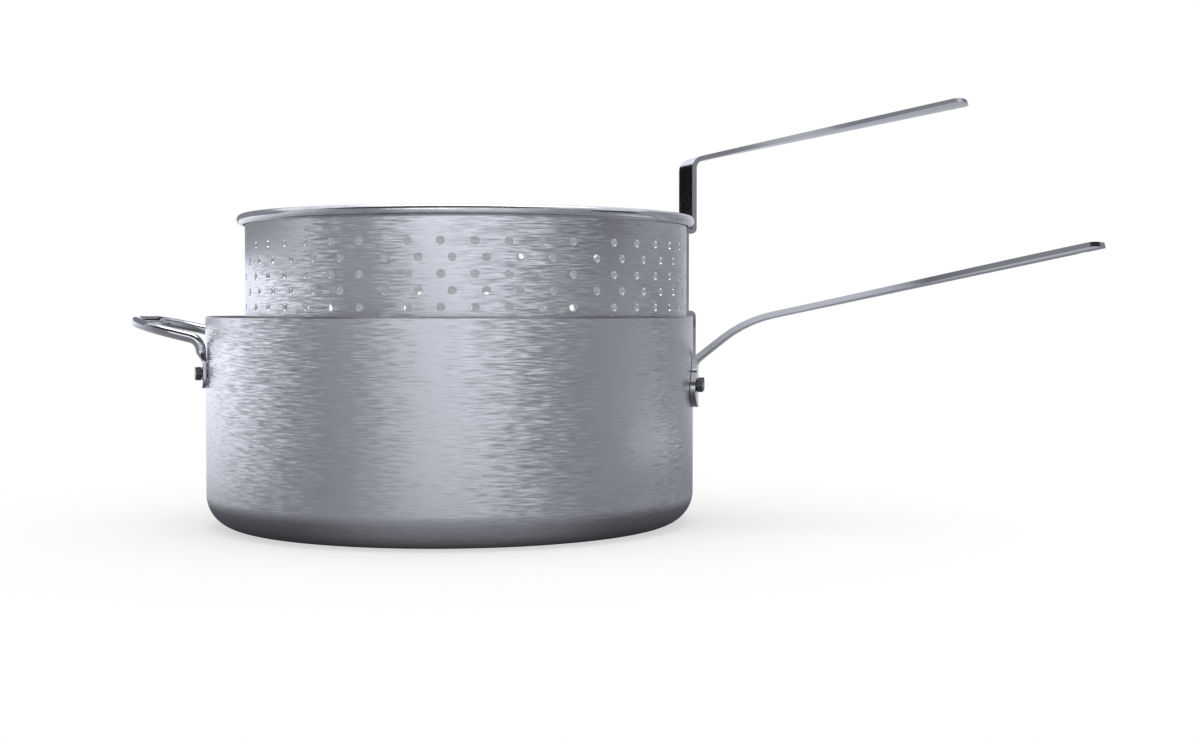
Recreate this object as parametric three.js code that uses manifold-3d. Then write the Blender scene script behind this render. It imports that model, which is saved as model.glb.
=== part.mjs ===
// Deep-fry pot with a perforated basket that hangs on the pot's rim to drain.
// Millimetres, +Z up. The origin is the middle of the pot's underside. The pot's long handle
// points along +X and its helper handle is on the far side.
import * as THREE from "three";
import { mergeGeometries, mergeVertices } from "three/addons/utils/BufferGeometryUtils.js";
import Module from "manifold-3d";

const wasm = await Module();
wasm.setup();

// Clearances
const SEAT_GAP = 0.3; // between two pieces that rest on each other
const HOLE_GAP = 0.4; // round a screw or rivet in its hole
const HOOK_GAP = 1.3; // between the basket's hook and the outside of the pot
const RIM_GAP = 0.5; // between the basket's rolled rim and its handle

// Pot, one drawn aluminium shell
const POT_RADIUS = 152.5;
const POT_HEIGHT = 130;
const POT_WALL = 2.5;
const POT_FLOOR = 3;
const POT_CORNER = 20; // outside radius between the wall and the floor

// Pot handle, a steel strip with an oval pad at its foot
const POT_STRIP_THICK = 3.2;
const POT_STRIP_WIDE = 25;
const POT_PAD_WIDE = 40;
const POT_PAD_TALL = 24;
const POT_PAD_DROP = 57; // from the pot's rim down to the pad's lower end
const POT_FOOT_RISE = 28; // from the pad's lower end to where the strip leaves the wall
const POT_FOOT_BEND = 7;
const POT_ARM_LENGTH = 40.5;
const POT_ARM_SLOPE = 39; // degrees
const POT_KNEE_BEND = 75;
const POT_GRIP_LENGTH = 223.5;
const POT_GRIP_SLOPE = 12; // degrees
const POT_ARM_BOW = 2.2; // how far the strip's long edges stand above its middle
const POT_WAIST_BOW = 1.2;
const POT_GRIP_BOW = 3;
const POT_HANG_HOLE = 8;
const POT_HANG_INSET = 14; // from the end of the grip to the middle of the hole
const PAD_SCREW_SPREAD = 24; // between the pad's two screws, along the wall
const PAD_SCREW_DROP = 43; // below the pot's rim

// Helper handle, a bent steel rod with flattened ends
const ROD_DIAMETER = 6.5;
const TAB_THICK = 2.8;
const TAB_WIDE = 12;
const TAB_DROP = 43.7; // from the pot's rim down to the tips of the flats
const TAB_FLAT = 15; // length that is beaten flat
const TAB_TAPER = 8; // length over which the flat turns into round rod
const HELPER_TURN = 4.5; // degrees by which it stands off the line of the pot's handle
const HELPER_SPAN = 100; // between its two legs
const HELPER_REACH = 42.1; // from the pot's wall to the middle of the crossbar
const HELPER_ROOT_DROP = 13; // from the pot's rim down to where the legs leave the wall
const HELPER_SLOPE = 13.7; // degrees
const HELPER_ROOT_BEND = 10;
const HELPER_END_BEND = 33;
const TAB_SCREW_DROP = 34.8; // below the pot's rim

// Screws and nuts
const SCREW_DIAMETER = 5;
const SCREW_HEAD = 10;
const SCREW_HEAD_TALL = 2.6;
const NUT_ACROSS_FLATS = 8;
const NUT_TALL = 3.5;

// Basket, one drawn and punched aluminium shell
const BASKET_ROOM = 11.5; // between its wall and the inside of the pot, all round
const BASKET_RADIUS = POT_RADIUS - POT_WALL - BASKET_ROOM;
const BASKET_DEPTH = 102; // underside to the top of the rim
const BASKET_WALL = 1.6;
const BASKET_CORNER = 12;
const BASKET_RISE = 62.6; // top of its rim above the pot's rim
const BASKET_PLAY = 1.2; // between the hanging basket and the inside of the pot
const BASKET_TURN = 19; // degrees from the pot's handle round to the basket's
const RIM_BEAD = 6.4; // thickness of the rolled rim
const RIM_OVERHANG = 5; // how far the rolled rim stands out from the wall

// Perforation: groups of holes round the wall, with every other row moved sideways
const HOLE_DIAMETER = 4.6;
const HOLE_SIDES = 6;
const HOLE_GROUPS = 7;
const HOLES_PER_GROUP = 6;
const HOLE_ROWS = 7;
const FIRST_ROW = 20.2; // below the top of the rim
const ROW_PITCH = 9.3;
const ROW_STAGGER = 5.3; // degrees
const PATTERN_TURN = 8.8; // degrees from the basket's handle to the middle of a group in the first row
const FLOOR_HOLES = 6; // in a ring round the one in the middle
const FLOOR_RING = 120; // diameter of that ring

// Basket handle, one bent steel strip: hook, joggles, upright and grip
const STRIP_THICK = 3;
const STRIP_WIDE = 30;
const HOOK_DROP = 30; // below the pot's rim
const JOGGLE_BELOW_RIM = 8.2; // from the top of the basket's rim to the middle of the upper joggle
const JOGGLE_BEND = 2;
const UPRIGHT_TALL = 38; // from the top of the basket's rim to the knee
const KNEE_BEND = 4;
const GRIP_LENGTH = 201.5;
const GRIP_SLOPE = 12.2; // degrees
const GRIP_BOW = 4.6;
const HANG_HOLE = 7;
const HANG_INSET = 13;

// Rivets that hold the strip to the basket
const RIVET_DIAMETER = 3.2;
const RIVET_HEAD = 6.5;
const RIVET_HEAD_TALL = 1.6;

// Facets
const POT_FACETS = 60;
const SMALL_FACETS = 8; // round a screw, a rivet or a drilled hole
const ROD_FACETS = 8;
const STRIP_FACETS = 4; // across a strip
const ARC_STEPS = 4; // in a quarter of a rounded profile
const BEND_STEP = 22.5; // degrees between the sections of a bend

const { degToRad, lerp, clamp, smoothstep } = THREE.MathUtils;
const UP = new THREE.Vector3(0, 0, 1);

const aluminium = () =>
  new THREE.MeshStandardMaterial({ color: 0xb4b8c1, roughness: 0.34, metalness: 1 });
const brightSteel = () =>
  new THREE.MeshStandardMaterial({ color: 0xa6a8af, roughness: 0.22, metalness: 1 });
const darkSteel = () =>
  new THREE.MeshStandardMaterial({ color: 0x4a4c52, roughness: 0.4, metalness: 1 });

// Bodies and cuts

function indexed(points, index) {
  const geometry = new THREE.BufferGeometry().setFromPoints(points);
  geometry.setIndex(index);
  geometry.computeVertexNormals();
  return geometry;
}

function solid(geometry) {
  const bare = new THREE.BufferGeometry();
  bare.setAttribute("position", geometry.getAttribute("position"));
  bare.setIndex(geometry.getIndex());
  const merged = mergeVertices(bare, 1e-4);
  return new wasm.Manifold(
    new wasm.Mesh({
      numProp: 3,
      vertProperties: merged.getAttribute("position").array,
      triVerts: new Uint32Array(merged.getIndex().array),
    }),
  );
}

function cut(geometry, cutters) {
  const body = solid(geometry).subtract(solid(mergeGeometries(cutters)));
  const { vertProperties, triVerts } = body.getMesh();
  const result = new THREE.BufferGeometry();
  result.setAttribute("position", new THREE.BufferAttribute(vertProperties.slice(), 3));
  result.setIndex(new THREE.BufferAttribute(triVerts.slice(), 1));
  result.computeVertexNormals();
  return result;
}

// A profile of [radius, height] turned round +Z, with its first facet edge at the angle start.
function revolve(profile, facets, start = 0) {
  const points = profile.map(([radius, height]) => new THREE.Vector2(radius, height));
  return new THREE.LatheGeometry(points, facets, start + Math.PI / 2).rotateX(Math.PI / 2);
}

// Points of a profile's round corner, both ends included.
function arc(radius, height, size, from, to, steps = ARC_STEPS) {
  return Array.from({ length: steps + 1 }, (_, i) => {
    const angle = degToRad(lerp(from, to, i / steps));
    return [radius + size * Math.cos(angle), height + size * Math.sin(angle)];
  });
}

// Corner radius of a polygon that is as large as a round hole of this diameter.
function cornerRadius(diameter, sides) {
  const equalArea = Math.sqrt((2 * Math.PI) / (sides * Math.sin((2 * Math.PI) / sides)));
  return (diameter / 2) * equalArea;
}

// A drill of a few flat sides along +X.
function drill(diameter, length, sides) {
  const radius = cornerRadius(diameter, sides);
  return new THREE.CylinderGeometry(radius, radius, length, sides).rotateZ(-Math.PI / 2);
}

// A drill that points out from the axis at an angle, with its middle on the given radius.
function radialDrill(diameter, length, sides, angle, radius, height) {
  return drill(diameter, length, sides).translate(radius, 0, height).rotateZ(angle);
}

// Paths and lofts

// The round bend between two straight runs.
class Bend extends THREE.Curve {
  constructor(start, corner, end, radius) {
    super();
    const incoming = corner.clone().sub(start).normalize();
    const outgoing = end.clone().sub(corner).normalize();
    this.angle = incoming.angleTo(outgoing);
    const reach = radius * Math.tan(this.angle / 2);
    this.first = corner.clone().addScaledVector(incoming, -reach);
    this.last = corner.clone().addScaledVector(outgoing, reach);
    this.axis = incoming.clone().cross(outgoing).normalize();
    const inward = this.axis.clone().cross(incoming);
    this.centre = this.first.clone().addScaledVector(inward, radius);
    this.arm = this.first.clone().sub(this.centre);
  }
  getPoint(t, target = new THREE.Vector3()) {
    return target.copy(this.arm).applyAxisAngle(this.axis, this.angle * t).add(this.centre);
  }
}

// Straight runs through the corners, with a bend of the given radius at each inner corner.
function bentPath(corners, radii) {
  const path = new THREE.CurvePath();
  let from = corners[0];
  radii.forEach((radius, i) => {
    const bend = new Bend(corners[i], corners[i + 1], corners[i + 2], radius);
    path.add(new THREE.LineCurve3(from, bend.first));
    path.add(bend);
    from = bend.last;
  });
  path.add(new THREE.LineCurve3(from, corners.at(-1)));
  return path;
}

// Lengths along a path at which a section is placed: each end of a run, steps in the bends, and extra ones.
function stations(path, extra) {
  const marks = [...extra];
  let done = 0;
  for (const run of path.curves) {
    const length = run.getLength();
    const steps = run.angle ? Math.ceil(run.angle / degToRad(BEND_STEP)) : 1;
    for (let i = 0; i <= steps; i++) marks.push(done + (length * i) / steps);
    done += length;
  }
  marks.sort((a, b) => a - b);
  return marks.filter((mark, i) => i === 0 || mark - marks[i - 1] > 0.05);
}

// Lengths that close in on a rounded end, which is as long as the end is deep.
function roundEnd(end, depth, steps = 5) {
  const inward = (i) => depth * (1 - Math.cos((Math.PI / 2) * (i / steps)));
  return Array.from({ length: steps + 1 }, (_, i) => end + inward(i));
}

// Half the width of an oval at a distance from its end, where its long half axis is depth.
function ovalHalf(fromEnd, depth, halfWidth) {
  const across = clamp(1 - fromEnd / depth, 0, 1);
  const least = 0.12; // the very tip stays a short flat edge
  return halfWidth * Math.max(least, Math.sqrt(1 - across * across));
}

// A closed body through rings of equally many points.
// A ring runs along its lower side and back along its upper side.
function loft(rings) {
  const count = rings[0].length;
  const last = (rings.length - 1) * count;
  const index = [];
  const quad = (a, b, c, d) => index.push(a, b, c, a, c, d);
  for (let i = 0; i < rings.length - 1; i++) {
    for (let j = 0; j < count; j++) {
      const a = i * count + j;
      const b = i * count + ((j + 1) % count);
      quad(a, b, b + count, a + count);
    }
  }
  for (let j = 0; j < count / 2 - 1; j++) {
    quad(j, count - 1 - j, count - 2 - j, j + 1);
    quad(last + j, last + j + 1, last + count - 2 - j, last + count - 1 - j);
  }
  return indexed(rings.flat(), index);
}

// Path position and direction at a length.
function at(path, length) {
  const share = clamp(length / path.getLength(), 0, 1);
  return { point: path.getPoint(share), along: path.getTangent(share) };
}

// A strip bent along a path in the XZ plane. half(s) is half its width and curve(s) its curvature across,
// which lifts its long edges to the left of the path's direction.
function bentStrip(path, thick, half, curve, extra) {
  const rings = stations(path, extra).map((s) => {
    const { point, along } = at(path, s);
    const lift = new THREE.Vector3(-along.z, 0, along.x);
    const bend = Math.max(curve(s), 1e-6);
    const place = (share, side) => {
      const angle = bend * half(s) * share;
      const across = Math.sin(angle) / bend - side * Math.sin(angle);
      const above = (1 - Math.cos(angle)) / bend + side * Math.cos(angle);
      return point.clone().addScaledVector(lift, above).setY(across);
    };
    const shares = Array.from({ length: STRIP_FACETS + 1 }, (_, i) => lerp(-1, 1, i / STRIP_FACETS));
    const lower = shares.map((share) => place(share, -thick / 2));
    const upper = shares.map((share) => place(share, thick / 2));
    return [...lower, ...upper.reverse()];
  });
  return loft(rings);
}

// Curvature of a strip whose edges stand this far above its middle.
const bowCurve = (bow, wide) => (8 * bow) / (wide * wide + 4 * bow * bow);

// A drill through a strip, square to it, at a length along its path.
function stripDrill(path, length, diameter, depth) {
  const { point, along } = at(path, length);
  const lean = Math.atan2(along.x, along.z);
  return drill(diameter, depth, SMALL_FACETS).rotateY(lean).translate(point.x, 0, point.z);
}

// Fasteners, with +X as their axis and the seat of the head at 0

function screw(length) {
  const r = SCREW_DIAMETER / 2;
  const head = SCREW_HEAD / 2;
  const lip = SCREW_HEAD_TALL / 4;
  const chamfer = SCREW_DIAMETER / 8;
  const profile = [
    [0, -SCREW_HEAD_TALL],
    [head * 0.6, -SCREW_HEAD_TALL * 0.85],
    [head, -lip],
    [head, 0],
    [r, 0],
    [r, length - chamfer],
    [r - chamfer, length],
    [0, length],
  ];
  return revolve(profile, SMALL_FACETS).rotateY(Math.PI / 2);
}

function nut() {
  const corner = NUT_ACROSS_FLATS / Math.sqrt(3);
  const hexagon = new THREE.CylinderGeometry(corner, corner, NUT_TALL, 6).rotateZ(-Math.PI / 2);
  const bore = drill(SCREW_DIAMETER + 2 * SEAT_GAP, 2 * NUT_TALL, SMALL_FACETS);
  return cut(hexagon, [bore]).translate(NUT_TALL / 2, 0, 0);
}

function rivet(grip) {
  const r = RIVET_DIAMETER / 2;
  const head = RIVET_HEAD / 2;
  const lip = RIVET_HEAD_TALL / 4;
  const profile = [
    [0, -RIVET_HEAD_TALL],
    [head * 0.65, -RIVET_HEAD_TALL * 0.8],
    [head, -lip],
    [head, 0],
    [r, 0],
    [r, grip],
    [head, grip],
    [head, grip + lip],
    [head * 0.65, grip + RIVET_HEAD_TALL * 0.8],
    [0, grip + RIVET_HEAD_TALL],
  ];
  return revolve(profile, SMALL_FACETS).rotateY(Math.PI / 2);
}

// Scene graph

const object = new THREE.Group();

function add(parent, name, geometry, material) {
  const mesh = new THREE.Mesh(geometry, material);
  mesh.name = name;
  parent.add(mesh);
  return mesh;
}

// Puts a piece whose axis is +X so that it points out from the parent's axis.
function placeRadially(mesh, angle, radius, height) {
  mesh.position.set(radius * Math.cos(angle), radius * Math.sin(angle), height);
  mesh.rotation.z = angle;
}

// Where the four screws pass through the pot's wall, and how thick a piece each one holds.
const tabRadius = POT_RADIUS + SEAT_GAP + TAB_THICK / 2;
const padRadius = POT_RADIUS + SEAT_GAP + POT_STRIP_THICK / 2;
const tabAngle = Math.asin(HELPER_SPAN / 2 / tabRadius);
const helperTurn = degToRad(HELPER_TURN);
const helperAngle = Math.PI + helperTurn;
const padAngle = PAD_SCREW_SPREAD / 2 / padRadius;
const padScrew = POT_HEIGHT - PAD_SCREW_DROP;
const tabScrew = POT_HEIGHT - TAB_SCREW_DROP;
const fixings = [
  { name: "pot_handle_front", angle: -padAngle, height: padScrew, thick: POT_STRIP_THICK },
  { name: "pot_handle_rear", angle: padAngle, height: padScrew, thick: POT_STRIP_THICK },
  { name: "helper_front", angle: helperAngle + tabAngle, height: tabScrew, thick: TAB_THICK },
  { name: "helper_rear", angle: helperAngle - tabAngle, height: tabScrew, thick: TAB_THICK },
];
const screwHole = SCREW_DIAMETER + 2 * HOLE_GAP;
const screwDrills = (radius, from, to) =>
  fixings
    .slice(from, to)
    .map(({ angle, height }) =>
      radialDrill(screwHole, SCREW_HEAD + POT_WALL, SMALL_FACETS, angle, radius, height),
    );

function potBody() {
  const inner = POT_RADIUS - POT_WALL;
  const innerCorner = POT_CORNER - POT_WALL;
  const edge = POT_WALL / 2; // the rim is rounded to half the wall
  const shell = revolve(
    [
      [0, 0],
      ...arc(POT_RADIUS - POT_CORNER, POT_CORNER, POT_CORNER, -90, 0),
      ...arc(POT_RADIUS - edge, POT_HEIGHT - edge, edge, 0, 180),
      ...arc(inner - innerCorner, POT_FLOOR + innerCorner, innerCorner, 0, -90),
      [0, POT_FLOOR],
    ],
    POT_FACETS,
  );
  return cut(shell, screwDrills(POT_RADIUS, 0, fixings.length));
}

function potHandle() {
  const foot = new THREE.Vector3(padRadius, 0, POT_HEIGHT - POT_PAD_DROP);
  const root = foot.clone().setZ(foot.z + POT_FOOT_RISE);
  const arm = degToRad(POT_ARM_SLOPE);
  const grip = degToRad(POT_GRIP_SLOPE);
  const reach = (from, slope, length) =>
    from.clone().add(new THREE.Vector3(length * Math.cos(slope), 0, length * Math.sin(slope)));
  const knee = reach(root, arm, POT_ARM_LENGTH);
  const tip = reach(knee, grip, POT_GRIP_LENGTH);
  const path = bentPath([foot, root, knee, tip], [POT_FOOT_BEND, POT_KNEE_BEND]);
  const length = path.getLength();
  const [footRun, footBend, armRun, kneeBend] = path.curves.map((run) => run.getLength());
  const armStart = footRun + footBend;
  const waist = armStart + armRun + kneeBend;

  const strip = POT_STRIP_WIDE / 2;
  const half = (s) => {
    if (s > length - strip) return ovalHalf(length - s, strip, strip);
    const fromPadEnd = Math.min(s, POT_PAD_TALL - s);
    const pad = ovalHalf(Math.max(fromPadEnd, 0), POT_PAD_TALL / 2, POT_PAD_WIDE / 2);
    return s > POT_PAD_TALL / 2 ? Math.max(pad, strip) : pad;
  };
  const wallCurve = 1 / padRadius;
  const curve = (s) => {
    if (s < footRun) return wallCurve;
    const armCurve = bowCurve(POT_ARM_BOW, POT_STRIP_WIDE);
    const waistCurve = bowCurve(POT_WAIST_BOW, POT_STRIP_WIDE);
    if (s < armStart) return lerp(wallCurve, armCurve, (s - footRun) / footBend);
    if (s < waist) return lerp(armCurve, waistCurve, (s - armStart) / (waist - armStart));
    const gripCurve = bowCurve(POT_GRIP_BOW, POT_STRIP_WIDE);
    return lerp(waistCurve, gripCurve, smoothstep(s, waist, length - POT_HANG_INSET));
  };
  const padEnds = [
    ...roundEnd(0, POT_PAD_TALL / 2),
    ...roundEnd(0, POT_PAD_TALL / 2).map((s) => POT_PAD_TALL - s),
  ];
  const gripEnd = roundEnd(0, strip).map((s) => length - s);
  const gripSteps = [0.2, 0.4, 0.6, 0.8].map((share) => lerp(waist, length, share));
  const blank = bentStrip(path, POT_STRIP_THICK, half, curve, [...padEnds, ...gripEnd, ...gripSteps]);
  return cut(blank, [
    ...screwDrills(padRadius, 0, 2),
    stripDrill(path, length - POT_HANG_INSET, POT_HANG_HOLE, POT_STRIP_WIDE),
  ]);
}

function helperHandle() {
  const side = HELPER_SPAN / 2;
  const wall = -tabRadius * Math.cos(tabAngle);
  const bar = -POT_RADIUS - HELPER_REACH;
  const root = POT_HEIGHT - HELPER_ROOT_DROP;
  const end = root + (wall - bar) * Math.tan(degToRad(HELPER_SLOPE));
  const leg = (y) => [
    new THREE.Vector3(wall, y, POT_HEIGHT - TAB_DROP),
    new THREE.Vector3(wall, y, root),
    new THREE.Vector3(bar, y, end),
  ];
  const corners = [...leg(-side), ...leg(side).reverse()];
  const bends = [HELPER_ROOT_BEND, HELPER_END_BEND, HELPER_END_BEND, HELPER_ROOT_BEND];
  const path = bentPath(corners, bends);
  const length = path.getLength();

  const tabEnd = TAB_WIDE / 2;
  const marks = [...roundEnd(0, tabEnd, 4), TAB_FLAT, TAB_FLAT + TAB_TAPER / 2, TAB_FLAT + TAB_TAPER];
  const rings = stations(path, [...marks, ...marks.map((s) => length - s)]).map((s) => {
    const { point, along } = at(path, s);
    const inward = new THREE.Vector3(-point.x, -point.y, 0).normalize();
    const steep = Math.abs(along.z);
    const lift = inward.multiplyScalar(steep).addScaledVector(UP, 1 - steep);
    lift.addScaledVector(along, -lift.dot(along)).normalize();
    const across = lift.clone().cross(along);
    const fromTip = Math.min(s, length - s);
    const round = smoothstep(fromTip, TAB_FLAT, TAB_FLAT + TAB_TAPER);
    const wide = lerp(ovalHalf(fromTip, tabEnd, TAB_WIDE / 2), ROD_DIAMETER / 2, round);
    const thick = lerp(TAB_THICK, ROD_DIAMETER, round) / 2;
    point.addScaledVector(lift, TAB_THICK / 2 - thick); // the flat is in line with the rod's inner side
    const square = lerp(0.4, 1, round); // a flat has squarer sides than the rod
    return Array.from({ length: ROD_FACETS }, (_, j) => {
      const angle = ((j + 0.5) / ROD_FACETS) * 2 * Math.PI - Math.PI;
      const soften = (share) => Math.sign(share) * Math.abs(share) ** square;
      return point
        .clone()
        .addScaledVector(across, wide * soften(Math.cos(angle)))
        .addScaledVector(lift, thick * soften(Math.sin(angle)));
    });
  });
  return cut(loft(rings).rotateZ(helperTurn), screwDrills(tabRadius, 2, 4));
}

object.name = "deep_fry_pot";
add(object, "pot_body", potBody(), aluminium());
add(object, "pot_handle", potHandle(), brightSteel());
add(object, "helper_handle", helperHandle(), brightSteel());

const headSeat = POT_RADIUS - POT_WALL - HOLE_GAP;
for (const { name, angle, height, thick } of fixings) {
  const nutSeat = POT_RADIUS + SEAT_GAP + thick + SEAT_GAP;
  const screwLength = nutSeat + NUT_TALL - headSeat;
  placeRadially(add(object, `${name}_screw`, screw(screwLength), brightSteel()), angle, headSeat, height);
  placeRadially(add(object, `${name}_nut`, nut(), darkSteel()), angle, nutSeat, height);
}

// The basket's own frame has its axis at the origin, its underside at height 0 and its handle along +X.
const basketShift = BASKET_ROOM - BASKET_PLAY;
const potRim = BASKET_DEPTH - BASKET_RISE; // height of the pot's rim in the basket's frame
const basket = new THREE.Group();
basket.name = "basket";
basket.rotation.z = degToRad(BASKET_TURN);
basket.position.set(
  basketShift * Math.cos(basket.rotation.z),
  basketShift * Math.sin(basket.rotation.z),
  POT_HEIGHT - potRim,
);
object.add(basket);

const wallStrip = BASKET_RADIUS + SEAT_GAP + STRIP_THICK / 2; // middle of the strip on the basket's wall
const rivetHole = RIVET_DIAMETER + 2 * HOLE_GAP;
const rivetHeights = [0, 2].map((row) => BASKET_DEPTH - FIRST_ROW - row * ROW_PITCH);

// A turned shell of flat facets, with holes punched through the facets of its wall.
// outer and inner are the numbers of the profile points at which the wall's two faces start.
// holes lists, for each facet, how far beside the facet's middle and how high each hole lies.
function punchedShell(profile, outer, inner, start, holes) {
  const facets = holes.length;
  const facet = (2 * Math.PI) / facets;
  const corner = (radius, height, i) =>
    new THREE.Vector3(radius, 0, height).applyAxisAngle(UP, start + i * facet);
  const points = profile.flatMap(([radius, height]) => holes.map((_, i) => corner(radius, height, i)));
  const index = [];
  const quad = (a, b, c, d) => index.push(a, b, c, a, c, d);
  const size = cornerRadius(HOLE_DIAMETER, HOLE_SIDES);
  const outline = Array.from({ length: HOLE_SIDES }, (_, j) =>
    new THREE.Vector2(0, size).rotateAround(new THREE.Vector2(), (j / HOLE_SIDES) * 2 * Math.PI),
  );

  holes.forEach((punched, i) => {
    const turn = start + (i + 0.5) * facet;
    const rims = punched.map((place) => outline.map((point) => point.clone().add(place)));
    const facetCorners = (run) =>
      [i, (i + 1) % facets].flatMap((side) => [run * facets + side, (run + 1) * facets + side]);

    // One face of the wall round its holes. Returns the number of its first hole point.
    const punch = (run, inward) => {
      const [a, d, b, c] = facetCorners(run);
      const flat = profile[run][0] * Math.cos(facet / 2);
      const first = points.length;
      for (const { x, y } of rims.flat()) {
        points.push(new THREE.Vector3(flat, x, y).applyAxisAngle(UP, turn));
      }
      const numbers = [a, b, c, d, ...rims.flat().map((_, k) => first + k)];
      const border = [a, b, c, d].map((k) => {
        const { y, z } = points[k].clone().applyAxisAngle(UP, -turn);
        return new THREE.Vector2(y, z);
      });
      for (const triangle of THREE.ShapeUtils.triangulateShape(border, rims)) {
        if (inward) triangle.reverse();
        index.push(...triangle.map((k) => numbers[k]));
      }
      return first;
    };
    const outside = punch(outer, false);
    const inside = punch(inner, true);
    rims.flat().forEach((_, k) => {
      const next = k % HOLE_SIDES === HOLE_SIDES - 1 ? k + 1 - HOLE_SIDES : k + 1;
      quad(outside + k, outside + next, inside + next, inside + k);
    });
    for (let run = 0; run < profile.length - 1; run++) {
      if (run === outer || run === inner) continue;
      const [a, d, b, c] = facetCorners(run);
      quad(a, b, c, d);
    }
  });
  return indexed(points, index);
}

function basketShell() {
  const bead = RIM_BEAD / 2;
  const beadRadius = BASKET_RADIUS + RIM_OVERHANG - bead;
  const beadHeight = BASKET_DEPTH - bead;
  const inner = BASKET_RADIUS - BASKET_WALL;
  const innerCorner = BASKET_CORNER - BASKET_WALL;
  const underside = [
    [0, 0],
    ...arc(BASKET_RADIUS - BASKET_CORNER, BASKET_CORNER, BASKET_CORNER, -90, 0, 2),
  ];
  const rim = [
    [BASKET_RADIUS, beadHeight - bead],
    ...arc(beadRadius, beadHeight, bead, -90, 90, 4),
    [inner, BASKET_DEPTH],
  ];
  const floor = [...arc(inner - innerCorner, BASKET_CORNER, innerCorner, 0, -90, 2), [0, BASKET_WALL]];

  const groupFacets = 2 * HOLES_PER_GROUP + 1; // a hole in every other facet, and one facet spare
  const facets = HOLE_GROUPS * groupFacets;
  const facet = (2 * Math.PI) / facets;
  const stagger = degToRad(ROW_STAGGER);
  const beside = (stagger - facet) / 2; // between the middle of a hole and the middle of its facet
  const holes = Array.from({ length: facets }, () => []);
  for (let row = 0; row < HOLE_ROWS; row++) {
    const height = BASKET_DEPTH - FIRST_ROW - row * ROW_PITCH;
    const moved = row % 2;
    const sideways = BASKET_RADIUS * Math.sin(moved ? -beside : beside);
    for (let group = 0; group < HOLE_GROUPS; group++) {
      for (let column = 0; column < HOLES_PER_GROUP; column++) {
        const number = group * groupFacets + 2 * column - moved;
        holes[(number + facets) % facets].push(new THREE.Vector2(sideways, height));
      }
    }
  }
  const firstHole = degToRad(PATTERN_TURN) - (HOLES_PER_GROUP - 1) * facet;
  const start = firstHole - beside - facet / 2;
  const shell = punchedShell(
    [...underside, ...rim, ...floor],
    underside.length - 1,
    underside.length + rim.length - 1,
    start,
    holes,
  );

  const through = 4 * BASKET_WALL;
  const floorHole = (radius, angle) =>
    drill(HOLE_DIAMETER, through, HOLE_SIDES).rotateY(Math.PI / 2).translate(radius, 0, 0).rotateZ(angle);
  const drills = [floorHole(0, 0)];
  for (let i = 0; i < FLOOR_HOLES; i++) {
    drills.push(floorHole(FLOOR_RING / 2, ((i + 0.5) * 2 * Math.PI) / FLOOR_HOLES));
  }
  for (const height of rivetHeights) {
    drills.push(radialDrill(rivetHole, through, SMALL_FACETS, 0, inner, height));
  }
  return cut(shell, drills);
}

function basketHandle() {
  const hookLeg = POT_RADIUS + HOOK_GAP + STRIP_THICK / 2 - basketShift;
  const hookTop = potRim + SEAT_GAP + STRIP_THICK / 2;
  const joggle = BASKET_DEPTH - JOGGLE_BELOW_RIM;
  const upright = BASKET_RADIUS + RIM_OVERHANG + RIM_GAP + STRIP_THICK / 2;
  const knee = new THREE.Vector3(upright, 0, BASKET_DEPTH + UPRIGHT_TALL);
  const slope = degToRad(GRIP_SLOPE);
  const tip = knee
    .clone()
    .add(new THREE.Vector3(GRIP_LENGTH * Math.cos(slope), 0, GRIP_LENGTH * Math.sin(slope)));
  const corners = [
    new THREE.Vector3(hookLeg, 0, potRim - HOOK_DROP),
    new THREE.Vector3(hookLeg, 0, hookTop),
    new THREE.Vector3(wallStrip, 0, hookTop),
    new THREE.Vector3(wallStrip, 0, joggle),
    new THREE.Vector3(upright, 0, joggle),
    knee,
    tip,
  ];
  const hookBend = Math.min(JOGGLE_BEND, 0.49 * (hookLeg - wallStrip));
  const joggleBend = Math.min(JOGGLE_BEND, 0.49 * (upright - wallStrip));
  const path = bentPath(corners, [hookBend, hookBend, joggleBend, joggleBend, KNEE_BEND]);
  const length = path.getLength();
  const gripStart = length - path.curves.at(-1).getLength();

  const strip = STRIP_WIDE / 2;
  const half = (s) => (s > length - strip ? ovalHalf(length - s, strip, strip) : strip);
  const curve = (s) =>
    bowCurve(GRIP_BOW, STRIP_WIDE) * clamp((s - gripStart) / (length - HANG_INSET - gripStart), 0, 1);
  const gripEnd = roundEnd(0, strip).map((s) => length - s);
  const gripSteps = [0.15, 0.3, 0.45, 0.6, 0.75].map((share) => lerp(gripStart, length, share));
  const blank = bentStrip(path, STRIP_THICK, half, curve, [...gripEnd, ...gripSteps]);
  return cut(blank, [
    ...rivetHeights.map((height) => radialDrill(rivetHole, RIVET_HEAD, SMALL_FACETS, 0, wallStrip, height)),
    stripDrill(path, length - HANG_INSET, HANG_HOLE, STRIP_WIDE),
  ]);
}

add(basket, "basket_shell", basketShell(), aluminium());
add(basket, "basket_handle", basketHandle(), brightSteel());

const rivetSeat = BASKET_RADIUS - BASKET_WALL - HOLE_GAP;
const rivetGrip = wallStrip + STRIP_THICK / 2 + SEAT_GAP - rivetSeat;
["upper", "lower"].forEach((place, i) => {
  const mesh = add(basket, `basket_rivet_${place}`, rivet(rivetGrip), brightSteel());
  placeRadially(mesh, 0, rivetSeat, rivetHeights[i]);
});

export default object;
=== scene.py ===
"""Deep-fry pot with a punched basket that hangs on its rim, dressed round the packed frame."""
import bisect
import math

import bmesh
import bpy
from bpy.props import FloatProperty, FloatVectorProperty, IntProperty, PointerProperty
from mathutils import Matrix, Vector


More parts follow.
